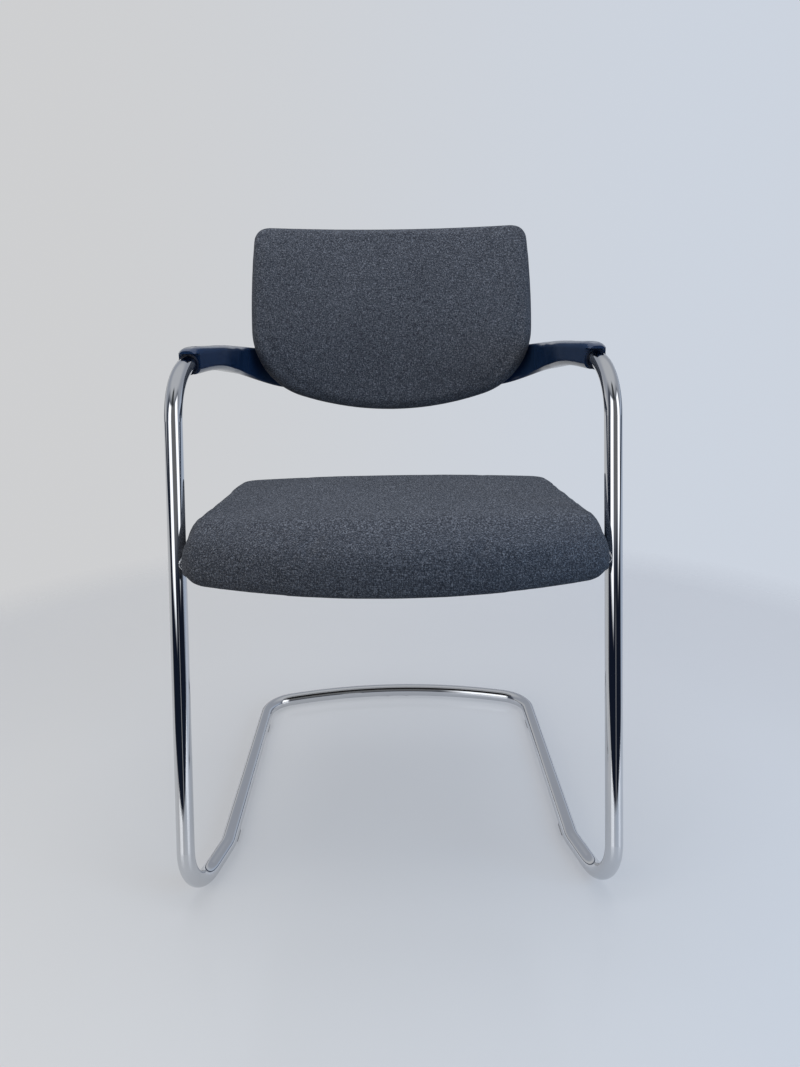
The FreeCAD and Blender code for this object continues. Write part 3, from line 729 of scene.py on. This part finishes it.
@dataclass
class SeatCushion:
    """Upholstered seat with a bowed, rounded nose that hangs over the cross tube.

    Sizes are in millimetres, in the seat's own frame: Y from the cross tube to the rear
    along the seat, Z square to it.
    """

    half_width: float = 254.0
    front: float = -87.6
    rear: float = 329.3
    top: float = 54.8
    crown_r: float = 5200.0
    under: float = 11.6
    nose_low: float = -26.6
    nose_rise_r: float = 3700.0
    nose_r: float = 50.0
    nose_l: float = 66.0
    bow_r: float = 685.0
    front_corner_r: float = 22.0
    rear_corner_r: float = 34.0
    side_full: float = 1.9
    bulge: float = 6.0
    rear_taper: float = 8.5
    low_tuck: float = 6.0
    rear_edge_r: float = 17.0
    side_top_r: float = 16.0
    nose_top_r: float = 21.0
    side_low_r: float = 25.0
    hollow_t: float = 20.6
    hollow_r: float = 21.4
    thigh_dip: float = 0.8
    thigh_y: float = 125.0
    thigh_l: float = 60.0
    sit_dip: float = 1.2
    sit_y: float = 190.0
    sit_reach: tuple = (150.0, 110.0)
    leg_y: float = -18.5
    leg_blend: float = 3.5
    taper_y: float = 20.0
    low_z: float = -20.0
    low_h: float = 45.0
    nose_puff: float = 1.2
    rear_turn: float = 3.2
    round_end: float = 200.0
    stations: int = 44
    stuffing: Stuffing = field(default_factory=lambda: Stuffing(voxel=4.8, swell=2.6))

    def top_at(self, x: float, y: float) -> float:
        """Height of the top at a place.

        Args:
            x: distance from the middle.
            y: distance behind the cross tube.

        Returns:
            The height.
        """
        crown = self.top - x ** 2 / (2 * self.crown_r)
        outward = 0.35 + 0.65 * (x / self.half_width) ** 2
        dip = self.thigh_dip * math.exp(-((y - self.thigh_y) / self.thigh_l) ** 2) * outward
        across, along = self.sit_reach
        sitting = self.sit_dip * math.exp(-((y - self.sit_y) / along) ** 2 - (x / across) ** 2)
        return crown - dip - sitting

    def widen(self, y: float, z: float) -> float:
        """How much wider the cushion is at a place than its half width, as a factor.

        It bulges in front of the legs, is pressed in between them and narrows to the rear.

        Args:
            y: distance behind the cross tube.
            z: height over the cross tube.

        Returns:
            The factor.
        """
        ahead = 1.0 / (1.0 + math.exp((y - self.leg_y) / self.leg_blend))
        behind = max(0.0, y - self.taper_y) / (self.rear - self.taper_y)
        low = 1.0 - min(1.0, max(0.0, (z - self.low_z) / self.low_h))
        more = self.side_full + self.bulge * ahead - self.rear_taper * behind ** 1.3 - self.low_tuck * low ** 1.5
        return 1.0 + more / self.half_width

    def section(self, x: float) -> list:
        """Closed outline of the cushion at a distance from its middle.

        Args:
            x: the distance.

        Returns:
            Points of Y and Z, the same number at every distance.
        """
        past = abs(x) - self.half_width
        bow = self.bow_r - math.sqrt(self.bow_r ** 2 - x ** 2)
        front = self.front + bow + rounding(past + self.front_corner_r, self.front_corner_r)
        rear = self.rear - rounding(past + self.rear_corner_r, self.rear_corner_r)
        lift = rounding(past + self.side_low_r, self.side_low_r)
        low = self.nose_low + x ** 2 / (2 * self.nose_rise_r) + lift
        under = self.under + 0.45 * lift

        def height(y: float) -> float:
            """Height of the rounded top at a place along the seat.

            Args:
                y: distance behind the cross tube.

            Returns:
                The height.
            """
            ahead = min(1.0, max(0.0, (self.round_end - y) / (self.round_end - self.front)))
            radius = self.side_top_r + (self.nose_top_r - self.side_top_r) * ahead ** 1.5
            return self.top_at(x, y) - rounding(past + radius, radius)

        lip_r = self.hollow_t / 2
        lip_z = low + lip_r
        rows = []
        for share in (0.0, 0.3, 0.6, 1.0):
            z = lip_z + (height(front) - self.nose_r - lip_z) * share
            rows.append((front - self.nose_puff * math.sin(math.pi * share), z))
        for y, z in arc_points((1.0, -1.0), 1.0, 180.0, 90.0, 14)[1:]:
            y = front + y * self.nose_l
            rows.append((y, z * self.nose_r + height(y)))
        start, end = front + self.nose_l, rear - self.rear_edge_r
        rows += [(y, height(y)) for y in (start + (end - start) * k / 16 for k in range(1, 16))]
        edge_z = height(end) - self.rear_edge_r
        rows += arc_points((end, edge_z), self.rear_edge_r, 90.0, 0.0, 6)
        turned = rear - self.rear_turn
        rows += [(rear + 0.6, (edge_z + under) / 2 + 2), (rear - 0.4, under + 6), (turned, under)]
        bend_y = front + self.hollow_t + self.hollow_r
        rows += [(turned + (bend_y - turned) * k / 12, under) for k in range(1, 13)]
        bend = arc_points((bend_y, under - self.hollow_r), self.hollow_r, 90.0, 180.0, 6)
        rows += bend[1:]
        rows.append((front + self.hollow_t, (bend[-1][1] + lip_z) / 2))
        rows += arc_points((front + lip_r, lip_z), lip_r, 0.0, -180.0, 8)[:-1]
        return rows

    def build(self, wardrobe: Wardrobe) -> None:
        """Make, fill and dress the cushion.

        Args:
            wardrobe: the finishes.
        """
        across = [self.half_width * math.sin(math.pi / 2 * k / self.stations)
                  for k in range(-self.stations, self.stations + 1)]
        across[0] += 0.3
        across[-1] -= 0.3
        points = []
        count = len(self.section(0.0))
        for x in across:
            points += [(x * self.widen(y, z), y, z) for y, z in self.section(x)]
        last = len(across) - 1
        faces = bridge(range(last + 1), count)
        faces += [tuple(range(count)), tuple(range(last * count, (last + 1) * count))]
        piece = mesh_piece("seat_cushion", points, faces)
        self.stuffing.fill(piece, self.hold)
        piece.data.transform(seat_frame())
        finish_piece(piece, Slot.FABRIC, wardrobe, "seat_cover", "seat_foam")

    def hold(self, points: np.ndarray) -> np.ndarray:
        """Share of the swell at each point: none under the seat, all of it on top and round the nose.

        Args:
            points: rows of X, Y and Z in metres.

        Returns:
            The share for each row.
        """
        y, z = points[:, 1] * 1000, points[:, 2] * 1000
        behind_nose = np.clip((y - self.front - self.hollow_t + 12.0) / 20.0, 0.0, 1.0)
        above = np.clip((z - self.under - 2.0) / 12.0, 0.0, 1.0)
        inside = np.clip((self.half_width - np.abs(points[:, 0]) * 1000) / 14.0, 0.0, 1.0)
        return inside * (above + (1.0 - above) * (1.0 - behind_nose) * 0.6)


@dataclass
class BackCushion:
    """Upholstered back, curved round the sitter, wide at its middle and rounded below.

    Sizes are in millimetres, in the back's own frame: Y to the rear, Z up the back.
    """

    width: float = 448.0
    length: float = 286.0
    bottom_half: float = 150.0
    bottom_r: float = 494.0
    side_r: float = 1243.0
    top_corner_r: float = 24.0
    thickness: float = 29.8
    edge_r: float = 13.0
    crown: float = 5.0
    bulge: float = 9.0
    lift: float = -0.4
    rear_inset: float = 3.0
    stuffing: Stuffing = field(default_factory=lambda: Stuffing(voxel=4.2, swell=2.0, smooth_rounds=3))

    def outline(self) -> list:
        """Right half of the outline from the bottom's middle to the top's middle.

        Returns:
            Points of X and Z.
        """
        half = self.width / 2
        tilt = math.asin(self.bottom_half / self.bottom_r)
        corner_r = (half - self.bottom_half) / (1 - math.sin(tilt))
        rise = self.bottom_r * (1 - math.cos(tilt))
        corner = (half - corner_r, rise + corner_r * math.cos(tilt))
        side = (half - self.side_r, corner[1])
        top_z = self.length - self.top_corner_r
        reach = self.side_r - self.top_corner_r
        top = (side[0] + math.sqrt(reach ** 2 - (top_z - side[1]) ** 2), top_z)
        lean = math.degrees(math.asin((top_z - side[1]) / reach))
        turn = math.degrees(tilt)
        rows = arc_points((0.0, self.bottom_r), self.bottom_r, -90.0, -90.0 + turn, 12)
        rows += arc_points(corner, corner_r, turn - 90.0, 0.0, 16)[1:]
        rows += arc_points(side, self.side_r, 0.0, lean, 12)[1:]
        rows += arc_points(top, self.top_corner_r, lean, 90.0, 8)[1:]
        rows += [(top[0] * (1 - k / 12), self.length) for k in range(1, 13)]
        return rows

    def rings(self) -> list:
        """Pairs of inward distance and depth, from the rear middle over the edge to the front middle.

        Returns:
            The pairs.
        """
        r = self.edge_r
        pairs = [(self.rear_inset, self.thickness), (0.8, self.thickness - 1.2), (0.0, self.thickness - 4.0),
                 (0.0, r + 1.5)]
        turns = (math.radians(15.0 * k) for k in range(7))
        return pairs + [(r - r * math.cos(a), r - r * math.sin(a)) for a in turns]

    def depth_shift(self, x: float, z: float, share: float) -> float:
        """Forward shift of the front face, for its crown and its curve round the sitter.

        Args:
            x: distance from the middle.
            z: height up the back.
            share: nought at the edge, one on the face.

        Returns:
            The shift to the rear.
        """
        across, up = 2 * x / self.width, 2 * z / self.length - 0.96
        puff = self.crown * up ** 2 - self.bulge * (1 - up ** 2) * (1 - 0.5 * across ** 4)
        return puff * share - x ** 2 / (2 * BACK_PLAN_R)

    def build(self, wardrobe: Wardrobe) -> None:
        """Make, fill and dress the cushion.

        Args:
            wardrobe: the finishes.
        """
        half = self.outline()
        loop = half + [(-x, z) for x, z in reversed(half[1:-1])]
        count = len(loop)
        points, faces = [], []
        rings = self.rings()
        centre = (0.0, self.length * 0.52)

        def inward(index: int, distance: float) -> tuple:
            """Point of the outline moved inwards by a distance.

            Args:
                index: the point's number in the outline.
                distance: how far inwards.

            Returns:
                Its X and Z.
            """
            before, after = loop[index - 1], loop[(index + 1) % count]
            dx, dz = after[0] - before[0], after[1] - before[1]
            size = math.hypot(dx, dz)
            return loop[index][0] - dz / size * distance, loop[index][1] + dx / size * distance

        for distance, depth in rings:
            for k in range(count):
                x, z = inward(k, distance)
                share = min(1.0, distance / self.edge_r) if depth < self.edge_r else 0.0
                points.append((x, depth + self.depth_shift(x, z, share), z))
        shrink = (0.86, 0.66, 0.44, 0.22, 0.04)
        for distance, depth, share in ((self.edge_r, 0.0, 1.0), (self.rear_inset, self.thickness, 0.0)):
            for scale in shrink:
                for k in range(count):
                    x, z = inward(k, distance)
                    x, z = centre[0] + (x - centre[0]) * scale, centre[1] + (z - centre[1]) * scale
                    points.append((x, depth + self.depth_shift(x, z, share), z))
        last_front = len(rings) + len(shrink)
        rear_rows = [0, *range(last_front, last_front + len(shrink))]
        for rows in (range(last_front), rear_rows):
            faces += bridge(rows, count)
            faces.append(tuple(rows[-1] * count + k for k in range(count)))
        piece = mesh_piece("back_cushion", points, faces)
        self.stuffing.fill(piece, self.hold)
        piece.data.transform(back_frame() @ Matrix.Translation((0.0, 0.0, self.lift * MM)))
        finish_piece(piece, Slot.FABRIC, wardrobe, "back_cover", "back_foam")

    def hold(self, points: np.ndarray) -> np.ndarray:
        """Share of the swell at each point: none at the rear, all of it at the front."""
        flat = points[:, 1] * 1000 + (points[:, 0] * 1000) ** 2 / (2 * BACK_PLAN_R)
        return np.clip((self.thickness - 6.0 - flat) / 10.0, 0.0, 1.0)


@dataclass
class SocketScrew:
    """Screw head with a hexagon socket, modelled once and copied to each place, in millimetres."""

    name: str
    head_d: float
    head_t: float
    socket_d: float
    socket_t: float
    domed: bool
    dome: float = 0.45
    chamfer: float = 0.3
    smooth_angle: float = 32.0

    def head(self) -> Piece:
        """Make one head, its seat at the origin and its top towards +Z.

        Returns:
            The head.
        """
        clear_selection()
        bpy.ops.mesh.primitive_cylinder_add(vertices=48, radius=self.head_d / 2 * MM, depth=self.head_t * MM,
                                            location=(0.0, 0.0, self.head_t / 2 * MM))
        piece = bpy.context.object
        piece.name = piece.data.name = self.name
        bpy.ops.object.mode_set(mode="EDIT")
        shape = bmesh.from_edit_mesh(piece.data)
        for face in shape.faces:
            face.select_set(face.normal.z > 0.9)
        bmesh.update_edit_mesh(piece.data)
        width, segments = (self.head_t * self.dome, 4) if self.domed else (self.chamfer, 2)
        bpy.ops.mesh.bevel(offset=width * MM, segments=segments, affect="EDGES")
        bpy.ops.object.mode_set(mode="OBJECT")
        clear_selection()
        bpy.ops.mesh.primitive_cylinder_add(vertices=6, radius=self.socket_d / 2 * MM, depth=self.socket_t * 2 * MM,
                                            location=(0.0, 0.0, self.head_t * MM))
        cutter = bpy.context.object
        make_active(piece)
        cut = piece.modifiers.new("socket", "BOOLEAN")
        cut.operation = "DIFFERENCE"
        cut.solver = "EXACT"
        cut.object = cutter
        bpy.ops.object.modifier_apply(modifier=cut.name)
        bpy.data.objects.remove(cutter)
        bpy.ops.object.shade_smooth_by_angle(angle=math.radians(self.smooth_angle))
        return piece

    def set_in(self, places: list, wardrobe: Wardrobe, node: str) -> None:
        """Set a head in each place.

        Args:
            places: matrices that bring the head from the origin to its seat.
            wardrobe: the finishes.
            node: the CAD node that the screws stand for.
        """
        finish_piece(set_in_places(self.head(), places, self.name), Slot.ZINC, wardrobe, node)


@dataclass
class Fastenings:
    """Screw heads in the back shell, under the seat bars and under the arms."""

    back_x: float = 120.0
    back_rows: tuple = (70.0, 225.0)
    shell_rear: float = 39.2
    sunk: float = 2.3
    bar_x: float = 130.0
    bar_rows: tuple = (60.0, 240.0)
    bar_under: float = 3.5
    arm_head_t: float = 2.0

    def back_places(self) -> list:
        """Places of the four heads that are sunk in the back shell.

        Returns:
            A matrix for each head.
        """
        places = []
        for side in (-1, 1):
            for row in self.back_rows:
                x = side * self.back_x
                out = Vector((x, math.sqrt(BACK_PLAN_R ** 2 - x ** 2), 0.0)).normalized()
                seat = (Vector((0.0, -BACK_PLAN_R, row)) + out * (BACK_PLAN_R + self.shell_rear - self.sunk)) * MM
                turn = out.to_track_quat("Z", "Y").to_matrix().to_4x4()
                places.append(back_frame() @ Matrix.Translation(seat) @ turn)
        return places

    def bar_places(self) -> list:
        """Places of the four heads under the seat's bars.

        Returns:
            A matrix for each head.
        """
        down = Matrix.Rotation(math.pi, 4, "X")
        return [seat_frame() @ Matrix.Translation((side * self.bar_x * MM, row * MM, self.bar_under * MM)) @ down
                for side in (-1, 1) for row in self.bar_rows]

    def arm_places(self) -> list:
        """Places of the four heads that are sunk under the arms, read from the CAD screws.

        Returns:
            A matrix for each head.
        """
        points = read_points(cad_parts["arm_screws"].data)
        places = []
        for side in (-1, 1):
            own = points[points[:, 0] * side > 0]
            split = (own[:, 1].min() + own[:, 1].max()) / 2
            for group in (own[own[:, 1] < split], own[own[:, 1] > split]):
                middle = (group.min(axis=0) + group.max(axis=0)) / 2
                place = Matrix.Translation((middle[0], middle[1], group[:, 2].min() + self.arm_head_t * MM))
                places.append(place @ Matrix.Rotation(math.pi, 4, "X"))
        return places

    def build(self, wardrobe: Wardrobe) -> None:
        """Make all the screw heads.

        Args:
            wardrobe: the finishes.
        """
        heads = (
            (SocketScrew("back_screw_heads", 9.4, 2.25, 3.6, 1.6, False), self.back_places(), "back_screws"),
            (SocketScrew("seat_screw_heads", 10.5, 3.2, 4.8, 2.0, True), self.bar_places(), "seat_screws"),
            (SocketScrew("arm_screw_heads", 9.0, self.arm_head_t, 3.6, 1.3, True), self.arm_places(), "arm_screws"),
        )
        for screw, places, node in heads:
            screw.set_in(places, wardrobe, node)


@dataclass
class WeldBeads:
    """Beads that weld the cross tube to the legs, in millimetres."""

    leg_x: float = 268.0
    tube_r: float = 11.0
    cross_r: float = 10.0
    bead_r: float = 1.1
    ripples: float = 26.0
    ripple_out: float = 0.22
    ripple_along: float = 0.15
    stand_off: float = 0.4
    sink: float = 0.6

    def weld_bead(self, side: int) -> Piece:
        """Make the bead round one end of the cross tube.

        Args:
            side: one for the right leg, minus one for the left.

        Returns:
            The bead.
        """
        low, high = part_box("seat_cross_tube")
        middle = (low + high) / 2
        clear_selection()
        bpy.ops.mesh.primitive_torus_add(major_segments=96, minor_segments=10, rotation=(0.0, math.pi / 2, 0.0),
                                         major_radius=(self.cross_r + self.stand_off) * MM,
                                         minor_radius=self.bead_r * MM)
        piece = settle(bpy.context.object)
        points = read_points(piece.data) * 1000
        angle = np.arctan2(points[:, 2], points[:, 1])
        saddle = self.leg_x - np.sqrt(self.tube_r ** 2 - (self.cross_r * np.cos(angle)) ** 2)
        ripple = np.sin(angle * self.ripples)
        points[:, 1:] *= 1.0 + self.ripple_out * ripple[:, None] / (self.cross_r + 2.0)
        points[:, 0] = side * (points[:, 0] + saddle - self.sink + self.ripple_along * ripple)
        points[:, 1:] += np.array(middle)[1:] * 1000
        write_points(piece.data, points / 1000)
        if side < 0:
            piece.data.flip_normals()
        piece.name = piece.data.name = "weld_bead_right" if side > 0 else "weld_bead_left"
        bpy.ops.object.shade_smooth()
        return piece

    def build(self, wardrobe: Wardrobe) -> None:
        """Make both beads."""
        for side in (-1, 1):
            finish_piece(self.weld_bead(side), Slot.CHROME, wardrobe)


@dataclass
class Staples:
    """Staples that hold the cloth and the felt under the seat, in the seat's own frame."""

    half_width: float = 249.5
    rear: float = 329.5
    inset: float = 15.0
    corner_r: float = 34.0
    front: float = 40.0
    under: float = 11.2
    spacing: float = 24.0
    staple: tuple = (9.0, 1.1, 0.5)
    edge: float = 0.2
    sunk: float = 0.1

    def staple_line(self) -> list:
        """Places of the staples along the sides and the rear.

        Returns:
            Rows of X, Y and the staple's heading in degrees.
        """
        x, y = self.half_width - self.inset, self.rear - self.inset
        rows = []
        runs = int((y - self.corner_r - self.front) / self.spacing)
        for k in range(runs + 1):
            rows += [(side * x, self.front + k * self.spacing, 90.0) for side in (-1, 1)]
        across = int((x - self.corner_r) * 2 / self.spacing)
        for k in range(across + 1):
            rows.append((self.corner_r - x + k * self.spacing, y, 0.0))
        for side in (-1, 1):
            for turn in (30.0, 60.0):
                a = math.radians(turn)
                rows.append((side * (x - self.corner_r + self.corner_r * math.cos(a)),
                             y - self.corner_r + self.corner_r * math.sin(a), side * (90.0 - turn) * -1.0))
        return rows

    def build(self, wardrobe: Wardrobe) -> None:
        """Model one staple and set it along the cloth's edge.

        Args:
            wardrobe: the finishes.
        """
        clear_selection()
        bpy.ops.mesh.primitive_cube_add(size=1.0)
        one = bpy.context.object
        one.scale = tuple(value * MM for value in self.staple)
        settle(one)
        bevel = one.modifiers.new("round", "BEVEL")
        bevel.width = self.edge * MM
        bevel.segments = 2
        apply_modifiers(one)
        places = []
        for x, y, heading in self.staple_line():
            place = Matrix.Translation((x * MM, y * MM, (self.under - self.sunk) * MM))
            places.append(seat_frame() @ place @ Matrix.Rotation(math.radians(heading), 4, "Z"))
        finish_piece(set_in_places(one, places, "cover_staples"), Slot.ZINC, wardrobe)


@dataclass
class Studio:
    """Pale floor that fades into a pale room, soft light and the camera.

    The room is what the chrome shows: bright behind and to the sides over a dark skirting,
    and dark in front, with tall windows and a beam under the ceiling. A window is given as
    its heading, its half width, its brightness, its sill and its head.
    """

    floor_colour: tuple = (0.35, 0.36, 0.375)
    bounce_colour: tuple = (0.20, 0.21, 0.23)
    # Floor glow, neutral on the left and bluer on the right: the blue is painted cool light from the right.
    floor_glow: tuple = ((0.295, 0.294, 0.295), (0.278, 0.30, 0.345))
    # Backdrop seen by the camera, neutral on the left and bluer on the right: the blue is painted cool light from
    # the right.
    seen_colour: tuple = ((0.62, 0.625, 0.635), (0.605, 0.655, 0.735))
    wall_colour: tuple = (0.74, 0.75, 0.765)
    high_wall_colour: tuple = (0.48, 0.51, 0.57)
    skirting_colour: tuple = (0.04, 0.055, 0.09)
    cool_colour: tuple = (0.58, 0.67, 0.82)
    ceiling_colour: tuple = (0.72, 0.74, 0.77)
    dusk_colour: tuple = (0.09, 0.105, 0.14)
    dark_colour: tuple = (0.010, 0.015, 0.030)
    beam_colour: tuple = (0.07, 0.075, 0.08)
    windows: tuple = ((0.25, 0.6, 0.22, 0.14, 0.62), (-0.56, 0.38, 2.05, 0.03, 0.62),
                      (1.0, 0.34, 2.05, 0.03, 0.62), (0.2, 0.05, 0.5, -0.5, 0.05))
    floor_fade: tuple = (1.15, 1.4)
    ambient: float = 0.82
    sensor: float = 36.0
    focal_px: float = 802.0
    longer_px: float = 1067.0
    eye: tuple = (-2.80, -1127.9, 739.3)
    pitch: float = 16.3
    yaw: float = 0.5
    roll: float = -0.75

    def floor(self) -> None:
        """Make the floor as a wide disc whose rim fades out."""
        clear_selection()
        bpy.ops.mesh.primitive_circle_add(vertices=96, radius=self.floor_fade[1] + 0.1, fill_type="NGON")
        piece = bpy.context.object
        piece.name = piece.data.name = "studio_floor"
        sheet = MaterialSheet("studio_floor")
        low, high = (tuple(value * share for value in self.floor_colour) for share in (0.97, 1.03))
        patch = sheet.mix(sheet.noise(2.2, 5.0, 0.6), low, high)
        path = sheet.add("ShaderNodeLightPath").outputs
        shown = sheet.math("MAXIMUM", path["Is Camera Ray"], path["Is Glossy Ray"], path["Is Transmission Ray"])
        # Share of the painted cool light across the floor, from left to right.
        side = sheet.spread(sheet.split(sheet.place())[0], 0.0, 1.0, -0.6, 0.6)
        reach = sheet.add("ShaderNodeVectorMath", operation="LENGTH")
        sheet.feed(reach.inputs[0], sheet.place())
        sheet.set(Base_Color=sheet.mix(shown, self.bounce_colour, patch), Specular_IOR_Level=0.3,
                  Emission_Color=sheet.mix(side, *self.floor_glow), Emission_Strength=shown,
                  Roughness=sheet.spread(sheet.noise(5.0, 5.0, 0.6), 0.12, 0.2, 0.35, 0.7),
                  Alpha=sheet.spread(reach.outputs["Value"], 1.0, 0.0, *self.floor_fade))
        piece.data.materials.append(sheet.material)

    def room(self) -> None:
        """Make the room that lights the chair and shows in its chrome."""
        world = bpy.data.worlds.new("studio_room")
        bpy.context.scene.world = world
        sheet = NodeSheet(world)
        x, y, z = sheet.split(sheet.add("ShaderNodeTexCoord").outputs["Generated"])
        walls = sheet.mix(sheet.rise(x, -0.4, 1.0), self.wall_colour, self.cool_colour)
        walls = sheet.mix(sheet.rise(z, 0.16, 0.4), walls, self.high_wall_colour)
        walls = sheet.mix(sheet.band(z, -0.03, -0.01, 0.06, 0.08), walls, self.skirting_colour)
        front = sheet.mix(sheet.rise(z, 0.1, 0.2), self.dark_colour, self.dusk_colour)
        shown = sheet.mix(sheet.rise(y, 0.0, -0.3), walls, front)
        shown = sheet.mix(sheet.rise(z, 0.62, 0.9), shown, self.ceiling_colour)
        heading = sheet.math("ARCTAN2", x, sheet.math("MULTIPLY", y, -1.0))
        middle = sheet.fall(sheet.math("ABSOLUTE", heading), 0.2, 0.45)
        beam = sheet.math("MULTIPLY", middle, sheet.band(z, 0.56, 0.66, 0.9, 0.97))
        shown = sheet.mix(beam, shown, self.beam_colour)
        for place, half, bright, sill, head in self.windows:
            level = sheet.band(z, sill, sill + 0.07, head, head + 0.08)
            off = sheet.math("ABSOLUTE", sheet.math("SUBTRACT", heading, place))
            pane = sheet.math("MULTIPLY", level, sheet.fall(off, half * 0.6, half))
            shown = sheet.mix(pane, shown, (bright, bright * 1.02, bright * 1.05))
        glow, seen = sheet.add("ShaderNodeBackground"), sheet.add("ShaderNodeBackground")
        sheet.feed(glow.inputs["Strength"], self.ambient)
        sheet.feed(glow.inputs["Color"], shown)
        # Backdrop painted bluer to the right, as cool light.
        sheet.feed(seen.inputs["Color"], sheet.mix(sheet.rise(x, -0.4, 0.4), *self.seen_colour))
        choose = sheet.add("ShaderNodeMixShader")
        camera_ray = sheet.add("ShaderNodeLightPath").outputs["Is Camera Ray"]
        for socket, value in zip(choose.inputs, (camera_ray, glow.outputs[0], seen.outputs[0])):
            sheet.feed(socket, value)
        sheet.feed(sheet.add("ShaderNodeOutputWorld").inputs["Surface"], choose.outputs[0])

    def lamp(self, name: str, power: float, size: tuple, place: tuple, aim: tuple, colour: tuple) -> None:
        """Hang one soft lamp.

        Args:
            name: its name.
            power: watts.
            size: width and height in metres.
            place: where it hangs.
            aim: the point that it faces.
            colour: its tint.
        """
        data = bpy.data.lights.new(name, "AREA")
        data.shape = "RECTANGLE"
        data.size, data.size_y = size
        data.energy = power
        data.color = colour
        piece = bpy.data.objects.new(name, data)
        piece.location = place
        piece.rotation_euler = (Vector(aim) - Vector(place)).to_track_quat("-Z", "Y").to_euler()
        piece.visible_glossy = False
        bpy.context.collection.objects.link(piece)

    def lamps(self) -> None:
        """Hang the lamps: a broad one overhead, a warm one to the left and a cool one to the right."""
        self.lamp("overhead", 7.5, (1.2, 0.8), (0.0, -0.1, 1.45), (0.0, 0.0, 0.5), (1.0, 0.99, 0.97))
        self.lamp("front_left", 3.6, (0.8, 0.6), (-0.9, -1.0, 0.75), (0.0, -0.2, 0.4), (1.0, 0.87, 0.66))
        self.lamp("front_right", 4.3, (0.8, 0.6), (0.9, -1.0, 0.75), (0.0, -0.2, 0.4), (0.27, 0.62, 1.0))

    def camera(self) -> None:
        """Set the camera as the photograph's was."""
        data = bpy.data.cameras.new("camera")
        data.sensor_width = self.sensor
        data.lens = self.focal_px / self.longer_px * self.sensor
        piece = bpy.data.objects.new("camera", data)
        bpy.context.collection.objects.link(piece)
        pitch, yaw, roll = (math.radians(angle) for angle in (self.pitch, self.yaw, self.roll))
        ahead = Vector((math.sin(yaw) * math.cos(pitch), math.cos(yaw) * math.cos(pitch), -math.sin(pitch)))
        right = Vector((math.cos(yaw), -math.sin(yaw), 0.0))
        down = ahead.cross(right)
        side = right * math.cos(roll) - down * math.sin(roll)
        drop = right * math.sin(roll) + down * math.cos(roll)
        turn = Matrix((side, -drop, -ahead)).transposed().to_4x4()
        piece.matrix_world = Matrix.Translation(Vector(self.eye) * MM) @ turn
        data.clip_start, data.clip_end = 0.01, 50.0
        bpy.context.scene.camera = piece

    def build(self) -> None:
        """Make the floor, the room, the lamps and the camera."""
        bpy.context.scene.view_settings.view_transform = "Standard"
        self.floor()
        self.room()
        self.lamps()
        self.camera()


def main() -> None:
    """Build the chair and its studio."""
    logging.basicConfig(level=logging.INFO, format="%(message)s")
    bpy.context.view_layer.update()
    wardrobe = Wardrobe()
    Studio().build()
    wardrobe.dress_cad()
    for part in (WeldBeads(), Staples(), Fastenings(), SeatCushion(), BackCushion()):
        part.build(wardrobe)


if __name__ == "__main__":
    main()
